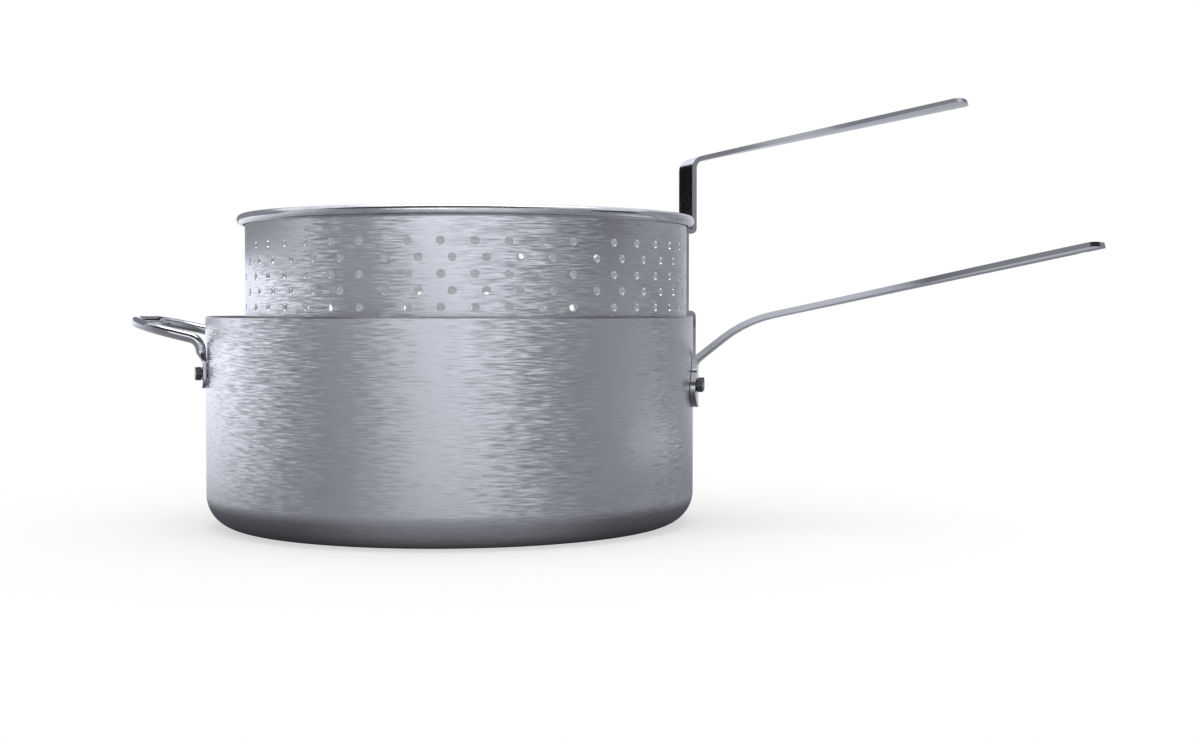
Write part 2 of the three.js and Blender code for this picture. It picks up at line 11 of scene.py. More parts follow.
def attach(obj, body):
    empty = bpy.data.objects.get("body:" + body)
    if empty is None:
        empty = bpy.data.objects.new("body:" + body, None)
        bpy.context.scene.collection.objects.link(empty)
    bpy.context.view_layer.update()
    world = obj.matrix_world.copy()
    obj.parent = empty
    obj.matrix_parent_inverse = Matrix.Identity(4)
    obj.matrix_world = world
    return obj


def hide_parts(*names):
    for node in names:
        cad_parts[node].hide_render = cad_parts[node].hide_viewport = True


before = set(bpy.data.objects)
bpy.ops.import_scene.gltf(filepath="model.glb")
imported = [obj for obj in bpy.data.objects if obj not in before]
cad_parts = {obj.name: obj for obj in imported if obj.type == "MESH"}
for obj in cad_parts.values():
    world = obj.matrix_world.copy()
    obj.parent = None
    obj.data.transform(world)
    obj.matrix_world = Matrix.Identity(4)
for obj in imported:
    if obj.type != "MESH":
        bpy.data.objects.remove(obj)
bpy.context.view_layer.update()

bl_info = {
    "name": "Deep-Fry Pot",
    "version": (1, 0, 0),
    "blender": (4, 5, 0),
    "location": "3D View > Sidebar > Fry Pot",
    "description": "Builds a deep-fry pot with a lift-out basket round its packed frame",
    "category": "Add Mesh",
}

MM = 0.001
UP = Vector((0, 0, 1))

# Clearances between pieces
SEAT_GAP = 0.3 * MM
HOLE_GAP = 0.4 * MM
HOOK_GAP = 1.3 * MM
RIM_GAP = 0.5 * MM

# Rounding of the edges
STRIP_EDGE = 1.0 * MM
SHEET_EDGE = 0.22 * MM
SCREW_EDGE = 0.15 * MM
NUT_EDGE = 0.35 * MM
LIP = 0.4  # on each side of the pot's rim, as a share of the wall
EDGE_STEPS = 3
SHARP = math.radians(40)  # least angle of an edge that is broken

# Fineness of the meshes
BEND_STEP = math.radians(6)
TURN_STEPS = 192  # round the pot
SMALL_STEPS = 32  # round a screw or rivet
ROD_STEPS = 20  # round the rod
BORE_STEPS = 24  # round the bore of a nut
HOLE_STEPS = 12  # round a hole in the basket's floor
STRIP_COLUMNS = 10  # across a strip
END_STEPS = 14  # along a round end
PAD_STEP = 1.5 * MM  # along the pad
TAPER_STEP = 0.8 * MM  # along the taper of the rod
GRIP_STEP = 3 * MM  # along a grip
ROW_LEAST = 0.05 * MM  # between two rows of a blank
TIP = math.radians(4.5)  # the very tip of a round end stays a short flat edge
FLAT = 1e-4  # least curvature across a strip
ROLL_ANGLES = range(180, -101, -14)  # from the basket's wall out and under
CORNER_ANGLES = range(0, -91, -9)  # from the basket's wall down to its floor
WELD = 1e-6  # points nearer than this are one
SEAM = 0.02 * MM  # between two groups of holes

# How far the faces round a punched hole give way, as a share of the hole's diameter, and in the basket's
# wall as a share of the drop between two lines
SCREW_ROOM = 0.7
RIVET_ROOM = 0.9
POT_HANG_ROOM = 0.75
BASKET_HANG_ROOM = 0.78
WALL_ROOM = 1.03


# Sizes and colours


def linear(code):
    """An sRGB hex colour as linear red, green and blue."""
    shares = [int(code[i : i + 2], 16) / 255 for i in (1, 3, 5)]
    return tuple(s / 12.92 if s <= 0.04045 else ((s + 0.055) / 1.055) ** 2.4 for s in shares)


def size(name, millimetres, description):
    return FloatProperty(
        name=name, description=description, default=millimetres * MM,
        min=0, precision=4, subtype="DISTANCE", unit="LENGTH",
    )


def lean(name, degrees, description):
    return FloatProperty(
        name=name, description=description, default=math.radians(degrees),
        subtype="ANGLE", unit="ROTATION",
    )


def tint(name, code, description):
    return FloatVectorProperty(
        name=name, description=description, default=linear(code),
        min=0, max=1, size=3, subtype="COLOR",
    )


class PotSizes(bpy.types.PropertyGroup):
    """Sizes of the drawn pot"""

    radius: size("Radius", 152.5, "Outside radius of the pot")
    height: size("Height", 130, "Underside to rim")
    wall: size("Wall", 2.5, "Thickness of the wall")
    floor: size("Floor", 3, "Thickness of the floor")
    corner: size("Corner", 20, "Outside radius between the wall and the floor")


class PotHandleSizes(bpy.types.PropertyGroup):
    """Sizes of the pot's strip handle"""

    thick: size("Thickness", 3.2, "Thickness of the strip")
    wide: size("Width", 25, "Width of the strip")
    pad_wide: size("Pad width", 40, "Width of the oval pad on the wall")
    pad_tall: size("Pad height", 24, "Height of the oval pad")
    pad_drop: size("Pad drop", 57, "From the pot's rim down to the lower end of the pad")
    foot_rise: size("Foot rise", 28, "From the pad's lower end to where the strip leaves the wall")
    foot_bend: size("Foot bend", 7, "Radius of the bend away from the wall")
    arm_length: size("Arm length", 40.5, "Length of the steep arm")
    arm_slope: lean("Arm slope", 39, "Slope of the steep arm")
    knee_bend: size("Knee bend", 75, "Radius between the arm and the grip")
    grip_length: size("Grip length", 223.5, "Length of the grip")
    grip_slope: lean("Grip slope", 12, "Slope of the grip")
    arm_bow: size("Arm bow", 2.2, "How far the long edges stand above the middle of the arm")
    waist_bow: size("Waist bow", 1.2, "The same after the knee")
    grip_bow: size("Grip bow", 3, "The same at the end of the grip")
    hang_hole: size("Hanging hole", 8, "Diameter of the hole to hang it by")
    hang_inset: size("Hole inset", 14, "From the end of the grip to the middle of the hole")
    screw_spread: size("Screw spread", 24, "Between the pad's two screws, along the wall")
    screw_drop: size("Screw drop", 43, "From the pot's rim down to the screws")


class HelperSizes(bpy.types.PropertyGroup):
    """Sizes of the rod helper handle"""

    rod: size("Rod", 6.5, "Diameter of the rod")
    tab_thick: size("Flat thickness", 2.8, "Thickness of the flattened ends")
    tab_wide: size("Flat width", 12, "Width of the flattened ends")
    tab_drop: size("Flat drop", 43.7, "From the pot's rim down to the tips of the flats")
    tab_flat: size("Flat length", 15, "Length that is beaten flat")
    tab_taper: size("Taper", 8, "Length over which the flat turns into round rod")
    turn: lean("Turn", 4.5, "How far it stands off the line of the long handle")
    span: size("Span", 100, "Between its two legs")
    reach: size("Reach", 42.1, "From the pot's wall to the middle of the crossbar")
    root_drop: size("Root drop", 13, "From the pot's rim down to where the legs leave the wall")
    slope: lean("Slope", 13.7, "Slope of the legs")
    root_bend: size("Root bend", 10, "Radius of the bends at the wall")
    end_bend: size("End bend", 33, "Radius of the bends to the crossbar")
    screw_drop: size("Screw drop", 34.8, "From the pot's rim down to the screws")


class BasketSizes(bpy.types.PropertyGroup):
    """Sizes of the punched basket"""

    radius: size("Radius", 138.5, "Outside radius of the wall")
    depth: size("Depth", 102, "Underside to the top of the rim")
    wall: size("Wall", 1.6, "Thickness of the sheet")
    corner: size("Corner", 12, "Outside radius between the wall and the floor")
    rise: size("Rise", 62.6, "Top of its rim above the pot's rim")
    shift: size("Shift", 10.3, "How far it hangs off the pot's axis")
    turn: lean("Turn", 19, "From the pot's handle round to the basket's")
    bead: size("Rim height", 6.4, "Height of the rolled rim")
    overhang: size("Rim overhang", 5, "How far the rolled rim stands out from the wall")
    hole: size("Hole", 4.6, "Diameter of the punched holes")
    groups: IntProperty(name="Groups", description="Groups of holes round the wall", default=7, min=1)
    per_group: IntProperty(name="Holes in a group", description="In each row", default=6, min=1)
    rows: IntProperty(name="Rows", description="Rows of holes", default=7, min=1)
    first_row: size("First row", 20.2, "From the top of the rim down to the first row")
    row_pitch: size("Row pitch", 9.3, "Between two rows")
    pattern_turn: lean("Pattern turn", 8.8, "From the handle to the middle of a group in the first row")
    floor_pitch: size("Floor pitch", 26, "Between two rings of holes in the floor")


class BasketHandleSizes(bpy.types.PropertyGroup):
    """Sizes of the basket's strip handle"""

    thick: size("Thickness", 3, "Thickness of the strip")
    wide: size("Width", 30, "Width of the strip")
    hook_drop: size("Hook drop", 30, "From the pot's rim down to the end of the hook")
    joggle_drop: size("Joggle drop", 8.2, "From the basket's rim down to the upper joggle")
    joggle_bend: size("Joggle bend", 2, "Radius of the hook's and the joggle's bends")
    upright: size("Upright", 38, "From the basket's rim up to the knee")
    knee_bend: size("Knee bend", 6.5, "Radius between the upright and the grip")
    grip_length: size("Grip length", 201.5, "Length of the grip")
    grip_slope: lean("Grip slope", 12.2, "Slope of the grip")
    grip_bow: size("Grip bow", 4.6, "How far the long edges stand above the middle at the end")
    hang_hole: size("Hanging hole", 7, "Diameter of the hole to hang it by")
    hang_inset: size("Hole inset", 13, "From the end of the grip to the middle of the hole")


class FixingSizes(bpy.types.PropertyGroup):
    """Sizes of the screws, nuts and rivets"""

    screw: size("Screw", 5, "Diameter of the screws")
    screw_head: size("Screw head", 10, "Diameter of the screw heads")
    head_tall: size("Head height", 2.6, "Height of the screw heads")
    nut: size("Nut", 8, "Across the flats of the nuts")
    nut_tall: size("Nut height", 3.5, "Height of the nuts")
    rivet: size("Rivet", 3.2, "Diameter of the rivets")
    rivet_head: size("Rivet head", 6.5, "Diameter of the rivet heads")
    rivet_tall: size("Rivet head height", 1.6, "Height of the rivet heads")


class Finishes(bpy.types.PropertyGroup):
    """Colours of the metals and of the stage"""

    aluminium: tint("Aluminium", "#f1f1f1", "Brushed aluminium of the pot and the basket")
    furrow: tint("Brush marks", "#d3d3d3", "Aluminium in the furrows of the brushing")
    # Painted shade: a dark line painted on the pot's rim, standing in for its shade and a dark reflection
    cut: tint("Painted rim shade", "#8a8a8a", "Painted shade along the pot's rim")
    steel: tint("Strip steel", "#cacaca", "Plated steel of the strip handles")
    rod: tint("Rod steel", "#cecece", "Bright plated steel of the helper handle")
    screw: tint("Screw steel", "#b3b3b3", "Plated steel of the screws and rivets")
    nut: tint("Nut steel", "#7c7c7c", "Dark oxide of the nuts")
    floor: tint("Floor", "#f6f6f6", "Pale floor")
    card: tint("Cards", "#eff2ff", "Cool white of the studio cards")


# Shapes


def rounded(corners):
    """A line through corners, each a place and a radius, as points with their directions."""
    line = []
    for i, (corner, radius) in enumerate(corners):
        before = corners[i - 1][0] if i else None
        after = corners[i + 1][0] if i + 1 < len(corners) else None
        if not radius:
            line.append((corner, ((after or corner) - (corner if after else before)).normalized()))
            continue
        back = (before - corner).normalized()
        ahead = (after - corner).normalized()
        half = back.angle(ahead) / 2
        centre = corner + (back + ahead).normalized() * (radius / math.sin(half))
        arm = corner + back * (radius / math.tan(half)) - centre
        axis = ahead.cross(back).normalized()
        turn = math.pi - 2 * half
        steps = max(2, math.ceil(turn / BEND_STEP))
        for k in range(steps + 1):
            swung = Matrix.Rotation(turn * k / steps, 3, axis) @ arm
            line.append((centre + swung, axis.cross(swung).normalized()))
    return line


class BentLine:
    """A bent line that is read by the length along it."""

    def __init__(self, corners):
        self.line = rounded(corners)
        self.marks = [0.0]
        for (a, _), (b, _) in zip(self.line, self.line[1:]):
            self.marks.append(self.marks[-1] + (b - a).length)
        self.length = self.marks[-1]

    def at(self, length):
        """The point and the direction at a length."""
        i = min(max(bisect.bisect_right(self.marks, length) - 1, 0), len(self.marks) - 2)
        share = (length - self.marks[i]) / (self.marks[i + 1] - self.marks[i])
        (a, from_a), (b, from_b) = self.line[i], self.line[i + 1]
        return a.lerp(b, share), from_a.lerp(from_b, share).normalized()

    def rows(self, extra):
        """Lengths for the rows of a blank: every point of the line and the extra ones."""
        kept = []
        for mark in sorted([*self.marks, *extra]):
            if not kept or mark - kept[-1] > ROW_LEAST:
                kept.append(mark)
        return kept


def flat_line(*corners):
    """A line in the XZ plane through corners of (x, z, radius)."""
    return [(Vector((x, 0, z)), radius) for x, z, radius in corners]


def even(start, end, step):
    """Lengths from start to end at about the given step."""
    count = max(1, round((end - start) / step))
    return [start + (end - start) * i / count for i in range(count + 1)]


def round_end(depth):
    """Lengths that close in on a round end of the given depth, measured from its tip."""
    angles = even(TIP, math.pi / 2, (math.pi / 2 - TIP) / END_STEPS)
    return [depth * (math.cos(TIP) - math.cos(angle)) for angle in angles]


def oval_half(from_tip, depth, half):
    """Half the width of an oval at a distance from its tip."""
    across = min(max(math.cos(TIP) - from_tip / depth, 0), 1)
    return half * math.sqrt(1 - across * across)


def arc(x, z, wide, tall, angles):
    """Points of (x, z) on an oval round a place, at angles in degrees."""
    turns = [math.radians(angle) for angle in angles]
    return [(x + wide * math.cos(turn), z + tall * math.sin(turn)) for turn in turns]


def ease(value, low, high):
    """A smooth step from 0 at low to 1 at high."""
    share = min(max((value - low) / (high - low), 0), 1)
    return share * share * (3 - 2 * share)


def mix(low, high, share):
    """A number between two."""
    return low + (high - low) * share


def sloped(angle):
    """The direction in the XZ plane that rises at an angle from +X."""
    return Vector((math.cos(angle), 0, math.sin(angle)))


def bow_curve(bow, wide):
    """Curvature of a strip whose long edges stand this far above its middle."""
    return 8 * bow / (wide * wide + 4 * bow * bow)


def verts_in(geom):
    """The points among the results of a bmesh operator."""
    return [item for item in geom if isinstance(item, bmesh.types.BMVert)]


def edges_of(verts):
    """The edges at these points, each one once."""
    return list(dict.fromkeys(edge for vert in verts for edge in vert.link_edges))


def open_edges(verts):
    """The edges at these points that have a face on one side only."""
    return [edge for edge in edges_of(verts) if edge.is_boundary]


def turned(steps, *corners):
    """A profile through corners of (x, z, radius), turned all round +Z."""
    bm = bmesh.new()
    verts = [bm.verts.new(point) for point, _ in rounded(flat_line(*corners))]
    edges = [bm.edges.new(pair) for pair in zip(verts, verts[1:])]
    bmesh.ops.spin(
        bm, geom=verts + edges, cent=(0, 0, 0), axis=UP, angle=2 * math.pi, steps=steps, use_merge=True
    )
    bmesh.ops.remove_doubles(bm, verts=bm.verts, dist=WELD)
    bmesh.ops.recalc_face_normals(bm, faces=bm.faces)
    return bm


def blank(rows, half, columns=STRIP_COLUMNS):
    """A flat blank along +X with a row of points at each length, half(length) wide on either side."""
    bm = bmesh.new()
    runs = len(rows) - 1
    bmesh.ops.create_grid(bm, x_segments=runs, y_segments=columns, size=0.5)
    for vert in bm.verts:
        row = rows[round((vert.co.x + 0.5) * runs)]
        vert.co = (row, 2 * vert.co.y * half(row), 0)
    return bm


def punch(bm, x, y, diameter, room, half=lambda length: 1):
    """Punches a round hole in a flat blank.

    Faces nearer than room give way. On a blank that tapers, their distance across is scaled to its width.
    """
    centre = Vector((x, y, 0))

    def apart(face):
        middle = face.calc_center_median()
        return max(abs(middle.x - x), abs(middle.y * half(x) / half(middle.x) - y))

    cleared = [face for face in bm.faces if apart(face) < room]
    near = list(dict.fromkeys(vert for face in cleared for vert in face.verts))
    bmesh.ops.delete(bm, geom=cleared, context="FACES")
    border = open_edges(vert for vert in near if vert.is_valid)
    split = bmesh.ops.subdivide_edges(bm, edges=border, cuts=1)["geom_inner"]
    ring = bmesh.ops.extrude_edge_only(bm, edges=open_edges(verts_in(split)))["geom"]
    for vert in verts_in(ring):
        vert.co = centre + (vert.co - centre).normalized() * (diameter / 2)


def bend(bm, line, curve):
    """Bends a flat blank along a line and dishes it, so that its long edges lift to the line's left."""
    for vert in bm.verts:
        length, across, _ = vert.co
        point, along = line.at(length)
        dish = max(curve(length), FLAT)
        lift = along.cross(Vector((0, 1, 0)))
        vert.co = point + lift * ((1 - math.cos(dish * across)) / dish)
        vert.co.y = math.sin(dish * across) / dish
    bmesh.ops.recalc_face_normals(bm, faces=bm.faces)


def draw_out(bm, ring, profile):
    """Draws a ring of edges out through points of (radius, height) and returns the last ring."""
    for radius, height in profile:
        made = bmesh.ops.extrude_edge_only(bm, edges=ring)["geom"]
        fresh = set(verts_in(made))
        for vert in fresh:
            vert.co = Vector((vert.co.x, vert.co.y, 0)).normalized() * radius + UP * height
        edges = [item for item in made if isinstance(item, bmesh.types.BMEdge)]
        ring = [edge for edge in edges if fresh.issuperset(edge.verts)]
    return ring


def point_out(bm, angle, radius, height):
    """Swings a piece that was made along +Z so that it points out from the pot's axis."""
    place = Matrix.Rotation(angle, 4, "Z") @ Matrix.Translation((radius, 0, height))
    bmesh.ops.transform(bm, matrix=place @ Matrix.Rotation(math.pi / 2, 4, "Y"), verts=bm.verts)


def add_piece(bm, name, finish):
    """Adds an object with a mesh and a finish to the scene."""
    mesh = bpy.data.meshes.new(name)
    bm.to_mesh(mesh)
    bm.free()
    mesh.materials.append(finish)
    piece = bpy.data.objects.new(name, mesh)
    bpy.context.scene.collection.objects.link(piece)
    return piece


def dress(bm, name, finish, body, node, wall=0, side=0, edge=0):
    """Makes a piece of a mesh: gives it a wall, breaks its edges and sets it on its body for a node."""
    piece = add_piece(bm, name, finish)
    piece.data.shade_smooth()
    if wall:
        sheet = piece.modifiers.new("Sheet", "SOLIDIFY")
        sheet.thickness = wall
        sheet.offset = side
        sheet.use_even_offset = True
    if edge:
        broken = piece.modifiers.new("Broken edges", "BEVEL")
        broken.width = edge
        broken.segments = EDGE_STEPS
        broken.limit_method = "ANGLE"
        broken.angle_limit = SHARP
    piece.modifiers.new("Even shading", "WEIGHTED_NORMAL")
    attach(piece, body)
    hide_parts(node)


# Finishes


def add_node(tree, kind, inputs, **settings):
    """Adds a shader node with its settings. An input is a value or another node's output."""
    made = tree.nodes.new("ShaderNode" + kind)
    for key, value in settings.items():
        setattr(made, key, value)
    for key, value in inputs.items():
        if isinstance(value, bpy.types.NodeSocket):
            tree.links.new(value, made.inputs[key])
        else:
            made.inputs[key].default_value = value
    return made


def calc(tree, operation, *values, **settings):
    """The result of a sum with numbers."""
    return add_node(tree, "Math", dict(enumerate(values)), operation=operation, **settings).outputs[0]


def vector(tree, operation, *values):
    """The result of a sum with vectors."""
    made = add_node(tree, "VectorMath", dict(enumerate(values)), operation=operation)
    return made.outputs["Value" if operation in ("LENGTH", "DOT_PRODUCT") else "Vector"]


NOISE_LOW, NOISE_HIGH = 0.3, 0.7  # most of a noise lies between these


def span(tree, value, low, high, start=NOISE_LOW, end=NOISE_HIGH):
    """A value that goes from low to high while another one, such as a noise, goes from start to end."""
    sockets = {"Value": value, "From Min": start, "From Max": end, "To Min": low, "To Max": high}
    return add_node(tree, "MapRange", sockets).outputs[0]


def noise(tree, place, spot, detail, rough=0.5):
    """A noise with spots of this size."""
    sockets = {"Vector": place, "Scale": 1 / spot, "Detail": detail, "Roughness": rough}
    return add_node(tree, "TexNoise", sockets).outputs[0]


def mapped(tree, place, **change):
    """A place that is moved, turned or scaled."""
    return add_node(tree, "Mapping", {"Vector": place, **change}).outputs[0]


def blend(tree, share, low, high):
    """A colour between two, as a node."""
    return add_node(tree, "Mix", {0: share, 6: low, 7: high}, data_type="RGBA").outputs[2]


def between(tree, share, low, high):
    """A number between two, as a node."""
    return add_node(tree, "Mix", {0: share, 2: low, 3: high}).outputs[0]


def where(tree):
    """The place on a piece, in the shared frame."""
    return add_node(tree, "TexCoord", {}).outputs["Object"]


def bumped(tree, height, depth):
    """A normal that follows marks of the given depth."""
    return add_node(tree, "Bump", {"Height": height, "Distance": depth, "Strength": 1.0}).outputs[0]


def metal(tree, colour, roughness, normal):
    """Closes a metal's tree with its shader."""
    sockets = {"Base Color": colour, "Metallic": 1.0, "Roughness": roughness, "Normal": normal}
    shader = add_node(tree, "BsdfPrincipled", sockets)
    add_node(tree, "OutputMaterial", {"Surface": shader.outputs[0]})


def new_finish(name):
    """An empty material and its tree, or None for the tree if the material is there already."""
    if name in bpy.data.materials:
        return bpy.data.materials[name], None
    finish = bpy.data.materials.new(name)
    finish.use_nodes = True
    finish.node_tree.nodes.clear()
    return finish, finish.node_tree


# Drawn sheet that was spun against an abrasive belt. The short furrows run round the piece and turn the
# light along it, so each reflection is smeared into broad upright bands, and they show as faint streaks.
# Real furrows are about 0.05 mm apart and are drawn coarser, to show at all. The belt doesn't reach the
# inside, which keeps the satin of the drawing.
STREAK_LONG = 10 * MM
STREAK_TALL = 0.8 * MM
STREAK_ROUGH = 0.6
FURROW_SWING = 0.48  # how far the furrows turn the light along the wall, as a tangent
CLOUD = 45 * MM
BRUSHED = (0.34, 0.28)  # roughness in the furrows and between them
WORN = 0.03  # how far it varies in the clouds
BURNISHED = 0.2  # roughness where a roller passed over the sheet
BURNISHED_CORNER = 0.75  # height of the roller's band, as a share of the pot's corner
BURNISHED_RIM = 1.5 * MM  # from the pot's rim down to the roller's mark
LOW_BLEND = 1.5 * MM
HIGH_BLEND = 1 * MM
# How soft the edge of the painted shade along the pot's rim is
RIM_SHADE_BLEND = 0.3 * MM
SATIN = 0.7  # roughness inside
INSIDE = -10 * MM  # faces that turn further inwards than this lie inside


def brushed_aluminium(name, axis, smooth_low, smooth_high, rim_shade_from):
    """Aluminium brushed round an upright axis, burnished below one height and above another.

    From the given height upwards it is painted darker: a painted dark line that stands in for the shade and
    dark reflection along the rim.
    """
    finish, tree = new_finish(name)
    if tree is None:
        return finish
    colours = bpy.context.scene.fry_pot_finishes
    centred = mapped(tree, where(tree), Location=(-axis.x, -axis.y, 0))
    x, y, z = add_node(tree, "SeparateXYZ", {0: centred}).outputs
    level = vector(tree, "MULTIPLY", centred, (1, 1, 0))
    climb = calc(tree, "ADD", vector(tree, "LENGTH", level), z)
    wound = add_node(tree, "CombineXYZ", {0: x, 1: y, 2: climb}).outputs[0]
    combed = mapped(tree, wound, Scale=(1 / STREAK_LONG, 1 / STREAK_LONG, 1 / STREAK_TALL))
    streaks = noise(tree, combed, 1, 3, STREAK_ROUGH)
    clouds = noise(tree, wound, CLOUD, 2)

    body = calc(
        tree, "MULTIPLY",
        span(tree, z, 0, 1, smooth_low - LOW_BLEND, smooth_low),
        span(tree, z, 0, 1, smooth_high + HIGH_BLEND, smooth_high),
    )
    facing = add_node(tree, "NewGeometry", {}).outputs["Normal"]
    outside = calc(tree, "GREATER_THAN", vector(tree, "DOT_PRODUCT", facing, level), INSIDE)
    brushed = calc(tree, "ADD", span(tree, streaks, *BRUSHED), span(tree, clouds, -WORN, WORN))
    roughness = between(tree, outside, SATIN, between(tree, body, BURNISHED, brushed))

    swing = span(tree, streaks, -FURROW_SWING, FURROW_SWING, 0, 1)
    swing = calc(tree, "MULTIPLY", swing, calc(tree, "MULTIPLY", body, outside))
    along = vector(tree, "CROSS_PRODUCT", facing, UP)
    normal = vector(tree, "NORMALIZE", vector(tree, "ADD", facing, vector(tree, "MULTIPLY", along, swing)))

    shade = span(tree, streaks, 0, 1)
    colour = blend(tree, shade, (*colours.furrow, 1), (*colours.aluminium, 1))
    # Painted shade: from this height up the rim is painted darker, in place of shade and a dark reflection
    cut = span(tree, z, 0, 1, rim_shade_from - RIM_SHADE_BLEND, rim_shade_from + RIM_SHADE_BLEND)
    metal(tree, blend(tree, cut, colour, (*colours.cut, 1)), roughness, normal)
    return finish


# Strip that was rolled, bent and then plated: satin, with fine lines that run along the strip and
# slightly cloudy plating.
LINE_LONG = 30 * MM
LINE_WIDE = 0.7 * MM
LINE_DEEP = 0.02 * MM
LINE_DULL = 0.86  # share of the colour that is left in the lines
PLATING = 18 * MM
PLATED = (0.14, 0.2)  # roughness


def plated_strip_steel(turn):
    """Plated strip steel with rolling lines along a strip that is turned this far round the pot."""
    finish, tree = new_finish(f"plated_strip_steel_{round(math.degrees(turn))}")
    if tree is None:
        return finish
    steel = bpy.context.scene.fry_pot_finishes.steel
    place = where(tree)
    squared = mapped(tree, place, Rotation=(0, 0, -turn))
    combed = mapped(tree, squared, Scale=(1 / LINE_LONG, 1 / LINE_WIDE, 1 / LINE_LONG))
    lines = noise(tree, combed, 1, 2)
    roughness = span(tree, noise(tree, place, PLATING, 3), *PLATED)
    dull = [LINE_DULL * share for share in steel]
    colour = blend(tree, lines, (*dull, 1), (*steel, 1))
    metal(tree, colour, roughness, bumped(tree, lines, LINE_DEEP))
    return finish


def plain_steel(name, spot, deep, low, high, colour):
    """Steel in one colour, with marks of a size and a depth and between two roughnesses."""
    finish, tree = new_finish(name)
    if tree is None:
        return finish
    marks = noise(tree, where(tree), spot, 3)
    metal(tree, (*colour, 1), span(tree, marks, low, high), bumped(tree, marks, deep))
    return finish


# Name, size and depth of the marks, and both roughnesses.
# Drawn rod with a bright plating: near mirror, with a faint ripple from the drawing.
ROD = ("bright_plated_rod_steel", 9 * MM, 0.04 * MM, 0.07, 0.13)
# Turned and headed screws and rivets with zinc on them: pale, with a dull grain.
ZINC = ("zinc_plated_screw_steel", 1.5 * MM, 0.02 * MM, 0.25, 0.35)
# Formed nuts with an oxide skin: almost black, and it holds oil unevenly.
OXIDE = ("black_oxide_nut_steel", 1.5 * MM, 0.02 * MM, 0.3, 0.45)


# Places that more than one piece uses


def basket_place(scene):
    """Where the basket's own frame stands: its axis and underside, with its handle along +X."""
    pot, basket = scene.fry_pot_pot, scene.fry_pot_basket
    turn = Matrix.Rotation(basket.turn, 4, "Z")
    lift = pot.height - (basket.depth - basket.rise)
    return Matrix.Translation(turn @ Vector((basket.shift, 0, lift))) @ turn


def fixings(scene):
    """Name, angle, height and clamped thickness of each screw through the pot's wall."""
    pot, handle, helper = scene.fry_pot_pot, scene.fry_pot_pot_handle, scene.fry_pot_helper
    pad = handle.screw_spread / 2 / (pot.radius + SEAT_GAP + handle.thick / 2)
    tab = math.asin(helper.span / 2 / (pot.radius + SEAT_GAP + helper.tab_thick / 2))
    far = math.pi + helper.turn
    pad_height = pot.height - handle.screw_drop
    tab_height = pot.height - helper.screw_drop
    return [
        ("pot_handle_front", -pad, pad_height, handle.thick),
        ("pot_handle_rear", pad, pad_height, handle.thick),
        ("helper_front", far + tab, tab_height, helper.tab_thick),
        ("helper_rear", far - tab, tab_height, helper.tab_thick),
    ]


def rivet_heights(basket):
    """Heights of the two rivets in the basket's frame, in its first and third row of holes."""
    return [basket.depth - basket.first_row - row * basket.row_pitch for row in (0, 2)]


# Pieces


class FRYPOT_OT_pot(bpy.types.Operator):
    """Spin the drawn pot"""

    bl_idname = "fry_pot.pot"
    bl_label = "Pot"

    def execute(self, context):
        pot = context.scene.fry_pot_pot
        inner = pot.radius - pot.wall
        lip = LIP * pot.wall
        bm = turned(
            TURN_STEPS,
            (0, 0, 0),
            (pot.radius, 0, pot.corner),
            (pot.radius, pot.height, lip),
            (inner, pot.height, lip),
            (inner, pot.floor, pot.corner - pot.wall),
            (0, pot.floor, 0),
        )
        # The lip's top is painted darker: a painted dark line along the pot's rim
        finish = brushed_aluminium(
            "brushed_drawn_aluminium_pot", Vector((0, 0)),
            BURNISHED_CORNER * pot.corner, pot.height - BURNISHED_RIM, pot.height - lip,
        )
        dress(bm, "drawn_pot", finish, "pot", "pot_body")
        return {"FINISHED"}


